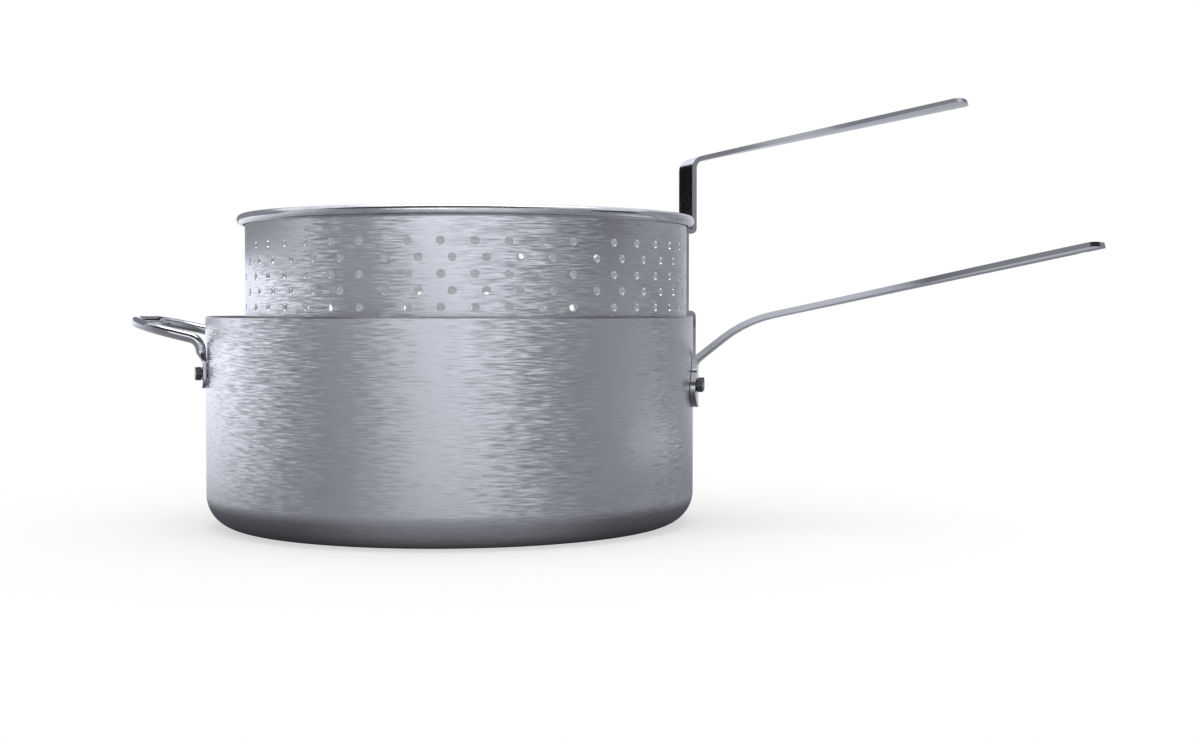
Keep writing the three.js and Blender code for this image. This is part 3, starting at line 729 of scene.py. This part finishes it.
class FRYPOT_OT_pot_handle(bpy.types.Operator):
    """Blank, punch and bend the pot's strip handle"""

    bl_idname = "fry_pot.pot_handle"
    bl_label = "Pot Handle"

    def execute(self, context):
        scene = context.scene
        pot, handle, fixing = scene.fry_pot_pot, scene.fry_pot_pot_handle, scene.fry_pot_fixings
        pad_radius = pot.radius + SEAT_GAP + handle.thick / 2
        foot = Vector((pad_radius, 0, pot.height - handle.pad_drop))
        root = foot + UP * handle.foot_rise
        arm, slope = handle.arm_slope, handle.grip_slope
        knee = root + sloped(arm) * handle.arm_length
        tip = knee + sloped(slope) * handle.grip_length
        line = BentLine([(foot, 0), (root, handle.foot_bend), (knee, handle.knee_bend), (tip, 0)])
        length = line.length
        foot_reach = handle.foot_bend * math.tan((math.pi / 2 - arm) / 2)
        foot_run = handle.foot_rise - foot_reach
        arm_start = foot_run + handle.foot_bend * (math.pi / 2 - arm)
        knee_reach = handle.knee_bend * math.tan((arm - slope) / 2)
        waist = length - handle.grip_length + knee_reach

        strip, pad_half = handle.wide / 2, handle.pad_tall / 2
        neck = 5 * MM  # fillet between the pad and the strip

        def half(s):
            if s > length - strip:
                return oval_half(length - s, strip, strip)
            if s <= pad_half:
                return oval_half(s, pad_half, handle.pad_wide / 2)
            pad = oval_half(max(handle.pad_tall - s, 0), pad_half, handle.pad_wide / 2)
            blend = max(neck - abs(pad - strip), 0) ** 2 / (4 * neck)
            return max(pad, strip) + blend

        wall_curve = 1 / pad_radius
        arm_curve = bow_curve(handle.arm_bow, handle.wide)
        waist_curve = bow_curve(handle.waist_bow, handle.wide)
        grip_curve = bow_curve(handle.grip_bow, handle.wide)

        def curve(s):
            if s < arm_start:
                return mix(wall_curve, arm_curve, ease(s, foot_run, arm_start))
            if s < waist:
                return mix(arm_curve, waist_curve, (s - arm_start) / (waist - arm_start))
            return mix(waist_curve, grip_curve, ease(s, waist, length - handle.hang_inset))

        rows = [
            *round_end(pad_half),
            *even(pad_half, foot_run, PAD_STEP),
            *even(arm_start, length - strip, GRIP_STEP),
            *[length - s for s in round_end(strip)],
        ]
        bm = blank(line.rows(rows), half)
        screw_hole = fixing.screw + 2 * HOLE_GAP
        screw_at = pot.height - handle.screw_drop - foot.z
        for side in (-1, 1):
            punch(bm, screw_at, side * handle.screw_spread / 2, screw_hole, SCREW_ROOM * screw_hole, half)
        punch(bm, length - handle.hang_inset, 0, handle.hang_hole, POT_HANG_ROOM * handle.hang_hole, half)
        bend(bm, line, curve)
        dress(
            bm, "pot_strip_handle", plated_strip_steel(0), "pot", "pot_handle",
            wall=handle.thick, edge=STRIP_EDGE,
        )
        return {"FINISHED"}


FLAT_SQUARE = 0.35  # how round the section of a flat is, where the rod is 1


class FRYPOT_OT_helper(bpy.types.Operator):
    """Bend the rod helper handle and flatten its ends"""

    bl_idname = "fry_pot.helper"
    bl_label = "Helper Handle"

    def execute(self, context):
        pot, helper = context.scene.fry_pot_pot, context.scene.fry_pot_helper
        tab_radius = pot.radius + SEAT_GAP + helper.tab_thick / 2
        side = helper.span / 2
        wall = -math.sqrt(tab_radius**2 - side**2)
        bar = -pot.radius - helper.reach
        foot = pot.height - helper.tab_drop
        root = pot.height - helper.root_drop
        end = root + (wall - bar) * math.tan(helper.slope)
        leg = [((wall, foot), 0), ((wall, root), helper.root_bend), ((bar, end), helper.end_bend)]
        corners = [(Vector((x, -side, z)), bent) for (x, z), bent in leg]
        corners += [(Vector((x, side, z)), bent) for (x, z), bent in reversed(leg)]
        line = BentLine(corners)
        length = line.length

        tip = helper.tab_wide / 2
        flat_end = helper.tab_flat + helper.tab_taper
        tab_rows = [*round_end(tip), *even(helper.tab_flat, flat_end, TAPER_STEP)]
        rows = line.rows([*tab_rows, *[length - s for s in tab_rows]])
        bm = blank(rows, lambda s: math.pi, ROD_STEPS)
        for vert in bm.verts:
            s, angle, _ = vert.co
            point, along = line.at(s)
            inward = Vector((-point.x, -point.y, 0)).normalized()
            steep = abs(along.z)
            lift = inward * steep + UP * (1 - steep)
            lift = (lift - along * lift.dot(along)).normalized()
            across = lift.cross(along)
            from_tip = min(s, length - s)
            round_share = ease(from_tip, helper.tab_flat, flat_end)
            tab_half = oval_half(from_tip, tip, tip)
            wide = mix(tab_half, helper.rod / 2, round_share)
            thick = mix(helper.tab_thick, helper.rod, round_share) / 2
            square = mix(FLAT_SQUARE, 1, round_share)
            sideways = math.copysign(abs(math.cos(angle)) ** square, math.cos(angle))
            upward = math.copysign(abs(math.sin(angle)) ** square, math.sin(angle))
            seat = helper.tab_thick / 2 - thick  # the flat is in line with the rod's inner side
            vert.co = point + across * (wide * sideways) + lift * (seat + thick * upward)
        bmesh.ops.remove_doubles(bm, verts=bm.verts, dist=WELD)
        bmesh.ops.holes_fill(bm, edges=[edge for edge in bm.edges if edge.is_boundary], sides=0)
        bmesh.ops.recalc_face_normals(bm, faces=bm.faces)
        bmesh.ops.rotate(bm, matrix=Matrix.Rotation(helper.turn, 3, "Z"), verts=bm.verts)
        finish = plain_steel(*ROD, context.scene.fry_pot_finishes.rod)
        dress(bm, "rod_helper_handle", finish, "pot", "helper_handle")
        return {"FINISHED"}


# The crown of a head, as shares of the head's radius and, for its rounding, of its height
SCREW_CROWN, SCREW_CROWN_BEND = 0.9, 0.6
RIVET_CROWN, RIVET_CROWN_BEND = 0.85, 0.8
# Small roundings
SCREW_SEAT_BEND, SCREW_END_BEND, RIVET_SEAT_BEND = 0.2 * MM, 0.5 * MM, 0.15 * MM
# The slot of a screw: half its width, and its depth as a share of the head's height
SLOT_HALF = 0.6 * MM
SLOT_DEEP = 0.45


class FRYPOT_OT_fixings(bpy.types.Operator):
    """Fit the screws and nuts that hold both handles to the pot"""

    bl_idname = "fry_pot.fixings"
    bl_label = "Screws and Nuts"

    def screw(self, fixing, length):
        """A slotted pan-head screw along +Z, with the seat of its head at 0."""
        shank, head, tall = fixing.screw / 2, fixing.screw_head / 2, fixing.head_tall
        bm = turned(
            SMALL_STEPS,
            (0, -tall, 0),
            (head * SCREW_CROWN, -tall, tall * SCREW_CROWN_BEND),
            (head, 0, SCREW_SEAT_BEND),
            (shank, 0, 0),
            (shank, length, SCREW_END_BEND),
            (0, length, 0),
        )
        for place in (-SLOT_HALF, SLOT_HALF):
            everything = [*bm.verts, *bm.edges, *bm.faces]
            bmesh.ops.bisect_plane(bm, geom=everything, plane_co=(0, place, 0), plane_no=(0, 1, 0))
        crown = []
        for face in bm.faces:
            middle = face.calc_center_median()
            if abs(middle.y) < SLOT_HALF and middle.z < -tall / 2:
                crown.append(face)
        sunk = bmesh.ops.extrude_face_region(bm, geom=crown)["geom"]
        bmesh.ops.translate(bm, vec=(0, 0, SLOT_DEEP * tall), verts=verts_in(sunk))
        bmesh.ops.recalc_face_normals(bm, faces=bm.faces)
        return bm

    def nut(self, fixing):
        """A hexagon nut along +Z, standing on 0."""
        bm = bmesh.new()
        hexagon = bmesh.ops.create_circle(bm, radius=fixing.nut / math.sqrt(3), segments=6)["verts"]
        bmesh.ops.subdivide_edges(bm, edges=edges_of(hexagon), cuts=BORE_STEPS // 6 - 1)
        sides = list(bm.edges)
        bore = bmesh.ops.create_circle(bm, radius=fixing.screw / 2 + SEAT_GAP, segments=BORE_STEPS)["verts"]
        faces = bmesh.ops.bridge_loops(bm, edges=sides + edges_of(bore))["faces"]
        top = bmesh.ops.extrude_face_region(bm, geom=faces, use_keep_orig=True)["geom"]
        bmesh.ops.translate(bm, vec=(0, 0, fixing.nut_tall), verts=verts_in(top))
        bmesh.ops.recalc_face_normals(bm, faces=bm.faces)
        return bm

    def execute(self, context):
        scene = context.scene
        pot, fixing, colours = scene.fry_pot_pot, scene.fry_pot_fixings, scene.fry_pot_finishes
        zinc = plain_steel(*ZINC, colours.screw)
        oxide = plain_steel(*OXIDE, colours.nut)
        head_seat = pot.radius - pot.wall - HOLE_GAP
        for name, angle, height, thick in fixings(scene):
            nut_seat = pot.radius + SEAT_GAP + thick + SEAT_GAP
            screw = self.screw(fixing, nut_seat + fixing.nut_tall - head_seat)
            point_out(screw, angle, head_seat, height)
            dress(screw, f"pan_head_{name}", zinc, "pot", f"{name}_screw", edge=SCREW_EDGE)
            nut = self.nut(fixing)
            point_out(nut, angle, nut_seat, height)
            dress(nut, f"hex_nut_{name}", oxide, "pot", f"{name}_nut", edge=NUT_EDGE)
        return {"FINISHED"}


class FRYPOT_OT_basket(bpy.types.Operator):
    """Punch the basket's wall flat, roll it up, and draw its rim and floor"""

    bl_idname = "fry_pot.basket"
    bl_label = "Basket"

    def execute(self, context):
        scene = context.scene
        basket = scene.fry_pot_basket
        inner = basket.radius - basket.wall
        inner_corner = basket.corner - basket.wall

        # One group of holes is punched in a flat piece of the wall. A hole lies on every sixth line
        # across and every third line down, and two lines on each side of it give way to it.
        across, down = 6, 3
        columns = across * basket.per_group + across // 2
        unit = 2 * math.pi / (columns * basket.groups)
        drop = basket.row_pitch / down
        above, below = 4, 4
        lines = down * (basket.rows - 1) + above + below
        top = basket.depth - basket.first_row
        bm = bmesh.new()
        bmesh.ops.create_grid(bm, x_segments=columns, y_segments=lines, size=0.5)
        for vert in bm.verts:
            column = (vert.co.x + 0.5) * columns - across
            line = (0.5 - vert.co.y) * lines - above
            vert.co = (inner * unit * column, top - drop * line, 0)
        for row in range(basket.rows):
            moved = -(across - 2) if row % 2 else 0
            for number in range(basket.per_group):
                column = across * number + moved
                punch(bm, inner * unit * column, top - basket.row_pitch * row, basket.hole, WALL_ROOM * drop)

        # The piece is rolled to the wall's inner face and repeated all round.
        start = basket.pattern_turn - (basket.per_group - 1) * across * unit / 2
        for vert in bm.verts:
            angle = start + vert.co.x / inner
            vert.co = (inner * math.cos(angle), inner * math.sin(angle), vert.co.y)
        share = 2 * math.pi / basket.groups
        bmesh.ops.spin(
            bm, geom=[*bm.verts, *bm.edges, *bm.faces], cent=(0, 0, 0), axis=UP,
            angle=share * (basket.groups - 1), steps=basket.groups - 1, use_duplicate=True,
        )
        bmesh.ops.remove_doubles(bm, verts=bm.verts, dist=SEAM)

        def border(height):
            level = 0.1 * MM
            return [
                edge for edge in bm.edges
                if edge.is_boundary and all(abs(vert.co.z - height) < level for vert in edge.verts)
            ]

        # The rim is rolled outwards and under.
        half_tall = basket.bead / 2
        half_wide = (basket.overhang + basket.wall) / 2
        roll = arc(inner + half_wide, basket.depth - half_tall, half_wide, half_tall, ROLL_ANGLES)
        draw_out(bm, border(top + above * drop), roll)

        # The floor is drawn in one with the wall and punched in rings.
        corner = arc(inner - inner_corner, basket.corner, inner_corner, inner_corner, CORNER_ANGLES)
        edges = draw_out(bm, border(top - (lines - above) * drop), corner)
        centres = [Vector((0, 0, basket.wall))]
        ring = 1
        while ring * basket.floor_pitch < inner - inner_corner - basket.hole:
            for i in range(6 * ring):
                turn = Matrix.Rotation((i + ring / 2) * math.pi / (3 * ring), 3, "Z")
                centres.append(turn @ Vector((ring * basket.floor_pitch, 0, basket.wall)))
            ring += 1
        for centre in centres:
            at = Matrix.Translation(centre)
            hole = bmesh.ops.create_circle(bm, radius=basket.hole / 2, segments=HOLE_STEPS, matrix=at)
            edges += edges_of(hole["verts"])
        bmesh.ops.triangle_fill(bm, use_beauty=True, use_dissolve=False, edges=edges)

        bmesh.ops.recalc_face_normals(bm, faces=bm.faces)
        wall = next(face for face in bm.faces if abs(face.calc_center_median().z - top) < drop)
        middle = wall.calc_center_median()
        if wall.normal.x * middle.x + wall.normal.y * middle.y < 0:
            bmesh.ops.reverse_faces(bm, faces=bm.faces)
        place = basket_place(scene)
        bmesh.ops.transform(bm, matrix=place, verts=bm.verts)
        axis = place.translation
        rim = axis.z + basket.depth
        no_rim_shade = rim + basket.depth  # the rolled rim gets no painted shade, so a height that nothing reaches
        finish = brushed_aluminium(
            "brushed_punched_aluminium_basket", axis, axis.z, rim - basket.bead, no_rim_shade
        )
        dress(
            bm, "punched_basket", finish, "basket", "basket_shell",
            wall=basket.wall, side=1, edge=SHEET_EDGE,
        )
        return {"FINISHED"}


STEP_SHARE = 0.49  # of a joggle's step for each of its bends, at most


class FRYPOT_OT_basket_handle(bpy.types.Operator):
    """Blank, punch and bend the basket's strip handle with its hook"""

    bl_idname = "fry_pot.basket_handle"
    bl_label = "Basket Handle"

    def execute(self, context):
        scene = context.scene
        pot, basket = scene.fry_pot_pot, scene.fry_pot_basket
        handle, fixing = scene.fry_pot_basket_handle, scene.fry_pot_fixings
        half_thick = handle.thick / 2
        pot_rim = basket.depth - basket.rise
        hook_leg = pot.radius + HOOK_GAP + half_thick - basket.shift
        hook_top = pot_rim + SEAT_GAP + half_thick
        wall_strip = basket.radius + SEAT_GAP + half_thick
        joggle = basket.depth - handle.joggle_drop
        upright = basket.radius + basket.overhang + RIM_GAP + half_thick
        knee = basket.depth + handle.upright
        slope = handle.grip_slope
        hook_bend = min(handle.joggle_bend, STEP_SHARE * (hook_leg - wall_strip))
        joggle_bend = min(handle.joggle_bend, STEP_SHARE * (upright - wall_strip))
        run, _, rise = sloped(slope) * handle.grip_length
        corners = flat_line(
            (hook_leg, pot_rim - handle.hook_drop, 0),
            (hook_leg, hook_top, hook_bend),
            (wall_strip, hook_top, hook_bend),
            (wall_strip, joggle, joggle_bend),
            (upright, joggle, joggle_bend),
            (upright, knee, handle.knee_bend),
            (upright + run, knee + rise, 0),
        )
        line = BentLine(corners)
        length = line.length
        knee_reach = handle.knee_bend * math.tan((math.pi / 2 - slope) / 2)
        grip_start = length - handle.grip_length + knee_reach
        strip = handle.wide / 2

        def half(s):
            return oval_half(length - s, strip, strip) if s > length - strip else strip

        def curve(s):
            bow = bow_curve(handle.grip_bow, handle.wide)
            return bow * min(max((s - grip_start) / (length - handle.hang_inset - grip_start), 0), 1)

        wall_start = next(
            mark for mark, (point, _) in zip(line.marks, line.line)
            if point.z > hook_top and abs(point.x - wall_strip) < WELD
        )
        wall_foot = line.at(wall_start)[0].z
        rows = [
            *even(wall_start, wall_start + joggle - joggle_bend - wall_foot, GRIP_STEP),
            *even(grip_start, length - strip, GRIP_STEP),
            *[length - s for s in round_end(strip)],
        ]
        bm = blank(line.rows(rows), half)
        rivet_hole = fixing.rivet + 2 * HOLE_GAP
        for height in rivet_heights(basket):
            punch(bm, wall_start + height - wall_foot, 0, rivet_hole, RIVET_ROOM * rivet_hole, half)
        punch(bm, length - handle.hang_inset, 0, handle.hang_hole, BASKET_HANG_ROOM * handle.hang_hole, half)
        bend(bm, line, curve)
        bmesh.ops.transform(bm, matrix=basket_place(scene), verts=bm.verts)
        dress(
            bm, "basket_strip_handle", plated_strip_steel(basket.turn), "basket",
            "basket_handle", wall=handle.thick, edge=STRIP_EDGE,
        )
        return {"FINISHED"}


class FRYPOT_OT_rivets(bpy.types.Operator):
    """Set the two rivets that hold the strip to the basket"""

    bl_idname = "fry_pot.rivets"
    bl_label = "Rivets"

    def execute(self, context):
        scene = context.scene
        basket, handle, fixing = scene.fry_pot_basket, scene.fry_pot_basket_handle, scene.fry_pot_fixings
        finish = plain_steel(*ZINC, scene.fry_pot_finishes.screw)
        seat = basket.radius - basket.wall - HOLE_GAP
        grip = basket.radius + SEAT_GAP + handle.thick + SEAT_GAP - seat
        shank, head, tall = fixing.rivet / 2, fixing.rivet_head / 2, fixing.rivet_tall
        crown, crown_bend = head * RIVET_CROWN, tall * RIVET_CROWN_BEND
        for name, height in zip(("upper", "lower"), rivet_heights(basket)):
            bm = turned(
                SMALL_STEPS,
                (0, -tall, 0),
                (crown, -tall, crown_bend),
                (head, 0, RIVET_SEAT_BEND),
                (shank, 0, 0),
                (shank, grip, 0),
                (head, grip, RIVET_SEAT_BEND),
                (crown, grip + tall, crown_bend),
                (0, grip + tall, 0),
            )
            point_out(bm, 0, seat, height)
            bmesh.ops.transform(bm, matrix=basket_place(scene), verts=bm.verts)
            dress(bm, f"dome_rivet_{name}", finish, "basket", f"basket_rivet_{name}")
        return {"FINISHED"}


# The set as the metal sees it, with directions in degrees round from the camera's. Each panel has the
# direction of its middle, half its width, the softness of its edges and its level. The table is painted
# darker under the pot: a painted shadow round the pot's foot, which only the metal sees.
CAMERA_TURN = -85
WALL_LEVEL = 0.3
WALL_HEIGHT = 1.3
PANELS = ((6.3, 25.5, 19, 0.94), (-142, 51, 40, 1.37), (97, 14, 14, 0.42), (175, 30, 20, 0.8))
SURROUND_STEPS = 120
# Radius, level in front of the pot, level at its sides and how far the table takes on the wall's light
# The low levels next to the pot are a painted shadow round its foot.
TABLE_WITH_PAINTED_SHADOW = (
    (0.134, 0.02, 0.02, 0), (0.14, 0.06, 0.04, 0), (0.15, 0.19, 0.08, 0), (0.17, 0.28, 0.13, 0),
    (0.22, 0.3, 0.3, 0.1), (0.4, 0.28, 0.28, 0.5), (1.6, 0.3, 0.3, 0.9),
)
TABLE_LIFT = 0.2 * MM
# Name, corner, two sides and level of each loose card: dark ones over the camera's side, behind the basket's
# strip and right of the basket, grey ones left of the basket, over the pad and leaning over the grips, and
# white ones before the basket and under each grip
LOOSE = (
    ("front_flag", (-1.3, -1.4, 1.0), (2.1, 0, 0), (0, 1.1, 0), 0.05),
    ("basket_bounce", (-0.46, -0.925, 0.29), (0.5, -0.1, 0), (0, 0, 0.13), 2.5),
    ("pad_flag", (0.15, -0.12, 0.3), (0.16, 0, 0), (0, 0.13, 0), 0.8),
    ("strip_screen", (-0.19, 0.301, 0.137), (0.2025, 0.147, 0), (0, 0, 0.196), 0.006),
    ("basket_flag", (-0.42, -0.1, 0.17), (0.28, 0.38, 0), (0, 0, 0.2), 0.3),
    ("side_flag", (0.47, -0.26, 0.2), (0, 0.26, 0), (0, 0, 0.22), 0.04),
    ("grip_flag", (0.3, -0.3, 0.14), (0.6, 0, 0), (0, 0.32, 0.6), 0.38),
    ("pot_grip_bounce", (0.3, -0.05, 0.03), (0.2, 0, 0), (0, 0.25, 0), 0.75),
    ("basket_grip_bounce", (0.1, 0.13, 0.2), (0.4, 0, 0), (0, 0.55, 0.09), 0.7),
)

# The paper is lit near the pot, and further off it is plain white to the eye.
PAPER_HALF = 6
PAPER_NEAR, PAPER_FAR = 0.15, 0.37
WHITE_NEAR = 0.6  # share of plain white near the pot
ROOM_LIGHT = 0.5  # level of the room's light on matt things
WHITE = (1, 1, 1, 1)
TOP_PLACE, TOP_TARGET = Vector((0.05, -0.05, 1.7)), Vector((0.05, 0, 0))
TOP_SIZE, TOP_WATTS = 1.5, 18
CAMERA_PLACE = (0.1901, -1.0965, 0.1333)
CAMERA_ANGLES = (88.09, 0, 5)
LENS, SENSOR = 52.5, 36


def lit_share(angle, middle, half, soft):
    """How far a direction lies in a panel."""
    away = abs((angle - middle + 180) % 360 - 180)
    return 1 - ease(away, half - soft, half + soft)


def wall_level(angle):
    """How bright the walls of the set are in a direction."""
    return max(mix(WALL_LEVEL, bright, lit_share(angle, *panel)) for *panel, bright in PANELS)


def seen_share(tree):
    """1 for rays that the eye follows, straight or off metal, and 1 for those off metal alone."""
    path = add_node(tree, "LightPath", {}).outputs
    seen = calc(tree, "ADD", path["Is Camera Ray"], path["Is Glossy Ray"])
    return calc(tree, "ADD", seen, path["Is Transmission Ray"], use_clamp=True), path["Is Glossy Ray"]


def matt_paper(colour):
    """Pale paper that is lit near the pot and turns plain white further off."""
    finish, tree = new_finish("matt_paper_floor")
    if tree is None:
        return finish
    seen, _ = seen_share(tree)
    far = span(tree, vector(tree, "LENGTH", where(tree)), WHITE_NEAR, 1, PAPER_NEAR, PAPER_FAR)
    share = calc(tree, "MULTIPLY", seen, far)
    paper = add_node(tree, "BsdfDiffuse", {"Color": (*colour, 1)}).outputs[0]
    white = add_node(tree, "Emission", {"Color": WHITE, "Strength": 1.0}).outputs[0]
    mixed = add_node(tree, "MixShader", {0: share, 1: paper, 2: white}).outputs[0]
    add_node(tree, "OutputMaterial", {"Surface": mixed})
    return finish


def lit_card(colour):
    """A card that glows at the level of its points."""
    finish, tree = new_finish("lit_studio_card")
    if tree is None:
        return finish
    level = add_node(tree, "Attribute", {}, attribute_name="level").outputs["Fac"]
    glow = add_node(tree, "Emission", {"Color": (*colour, 1), "Strength": level}).outputs[0]
    add_node(tree, "OutputMaterial", {"Surface": glow})
    return finish


class FRYPOT_OT_stage(bpy.types.Operator):
    """Lay the floor, hang the light, stand the cards up and set the camera"""

    bl_idname = "fry_pot.stage"
    bl_label = "Stage"

    def floor(self, scene):
        """A pale floor."""
        bm = bmesh.new()
        bmesh.ops.create_grid(bm, x_segments=1, y_segments=1, size=PAPER_HALF)
        piece = add_piece(bm, "floor", matt_paper(scene.fry_pot_finishes.floor))

    def card(self, name, across, up, place):
        """A card that only the metal sees. place gives a point and a level for a share across and a row."""
        bm = bmesh.new()
        bmesh.ops.create_grid(bm, x_segments=across, y_segments=up, size=0.5)
        level = bm.verts.layers.float.new("level")
        for vert in bm.verts:
            vert.co, vert[level] = place(vert.co.x + 0.5, round((vert.co.y + 0.5) * up))
        piece = add_piece(bm, name, lit_card(bpy.context.scene.fry_pot_finishes.card))
        piece.visible_camera = False
        piece.visible_diffuse = False
        piece.visible_shadow = False

    def cards(self):
        """The set that the metal mirrors: a grey table with a painted shadow round the pot, dim walls with
        lit panels, and the loose cards.
        """

        def surround(share, row):
            angle = math.radians(CAMERA_TURN) + 2 * math.pi * share
            # The table's levels carry the painted shadow round the pot's foot.
            radius, front, side, lit = TABLE_WITH_PAINTED_SHADOW[min(row, len(TABLE_WITH_PAINTED_SHADOW) - 1)]
            level = mix(side, front, lit_share(360 * share, *PANELS[0][:3]))
            height = TABLE_LIFT
            if row >= len(TABLE_WITH_PAINTED_SHADOW):
                lit = 1
                height = WALL_HEIGHT * (row - len(TABLE_WITH_PAINTED_SHADOW))
            level = mix(level, wall_level(360 * share), lit)
            return Vector((radius * math.cos(angle), radius * math.sin(angle), height)), level

        self.card("surround", SURROUND_STEPS, len(TABLE_WITH_PAINTED_SHADOW) + 1, surround)
        for name, corner, along, up, level in LOOSE:
            sides = Vector(corner), Vector(along), Vector(up), level
            self.card(name, 1, 1, lambda share, row, s=sides: (s[0] + s[1] * share + s[2] * row, s[3]))

    def top_light(self, scene):
        """A soft light over the pot."""
        light = bpy.data.lights.new("top_light", "AREA")
        light.size = TOP_SIZE
        light.energy = TOP_WATTS
        lamp = bpy.data.objects.new("top_light", light)
        lamp.location = TOP_PLACE
        lamp.rotation_euler = (TOP_TARGET - TOP_PLACE).to_track_quat("-Z", "Y").to_euler()
        lamp.visible_camera = False
        scene.collection.objects.link(lamp)

    def world(self, scene):
        """White to the eye and to the metal, and a soft level of light for everything else."""
        scene.world = bpy.data.worlds.new("studio")
        scene.world.use_nodes = True
        tree = scene.world.node_tree
        tree.nodes.clear()
        seen, mirrored = seen_share(tree)
        strength = span(tree, seen, ROOM_LIGHT, 1, 0, 1)
        colour = blend(tree, mirrored, WHITE, (*scene.fry_pot_finishes.card, 1))
        sky = add_node(tree, "Background", {"Color": colour, "Strength": strength})
        add_node(tree, "OutputWorld", {"Surface": sky.outputs[0]})

    def camera(self, scene):
        """The camera of the photo."""
        camera = bpy.data.cameras.new("camera")
        camera.lens = LENS
        camera.sensor_width = SENSOR
        view = bpy.data.objects.new("camera", camera)
        view.location = CAMERA_PLACE
        view.rotation_euler = [math.radians(angle) for angle in CAMERA_ANGLES]
        scene.collection.objects.link(view)
        scene.camera = view

    def execute(self, context):
        scene = context.scene
        scene.view_settings.view_transform = "Standard"
        self.world(scene)
        self.floor(scene)
        self.top_light(scene)
        self.cards()
        self.camera(scene)
        return {"FINISHED"}


# Panel and registration

GROUPS = {
    "fry_pot_pot": PotSizes,
    "fry_pot_pot_handle": PotHandleSizes,
    "fry_pot_helper": HelperSizes,
    "fry_pot_basket": BasketSizes,
    "fry_pot_basket_handle": BasketHandleSizes,
    "fry_pot_fixings": FixingSizes,
    "fry_pot_finishes": Finishes,
}
OPERATORS = (
    FRYPOT_OT_pot,
    FRYPOT_OT_pot_handle,
    FRYPOT_OT_helper,
    FRYPOT_OT_fixings,
    FRYPOT_OT_basket,
    FRYPOT_OT_basket_handle,
    FRYPOT_OT_rivets,
    FRYPOT_OT_stage,
)


class FRYPOT_PT_panel(bpy.types.Panel):
    """The pot's pieces, with their sizes and colours"""

    bl_idname = "FRYPOT_PT_panel"
    bl_label = "Deep-Fry Pot"
    bl_space_type = "VIEW_3D"
    bl_region_type = "UI"
    bl_category = "Fry Pot"

    def draw(self, context):
        for operator in OPERATORS:
            self.layout.operator(operator.bl_idname)
        for name, group in GROUPS.items():
            box = self.layout.box()
            box.label(text=group.__doc__)
            for prop in group.__annotations__:
                box.prop(getattr(context.scene, name), prop)


def register():
    for name, group in GROUPS.items():
        bpy.utils.register_class(group)
        setattr(bpy.types.Scene, name, PointerProperty(type=group))
    for part in (*OPERATORS, FRYPOT_PT_panel):
        bpy.utils.register_class(part)


def unregister():
    for part in (FRYPOT_PT_panel, *reversed(OPERATORS)):
        bpy.utils.unregister_class(part)
    for name, group in reversed(GROUPS.items()):
        delattr(bpy.types.Scene, name)
        bpy.utils.unregister_class(group)


def main():
    register()
    bpy.ops.fry_pot.stage()
    bpy.ops.fry_pot.pot()
    bpy.ops.fry_pot.pot_handle()
    bpy.ops.fry_pot.helper()
    bpy.ops.fry_pot.fixings()
    bpy.ops.fry_pot.basket()
    bpy.ops.fry_pot.basket_handle()
    bpy.ops.fry_pot.rivets()


if __name__ == "__main__":
    main()
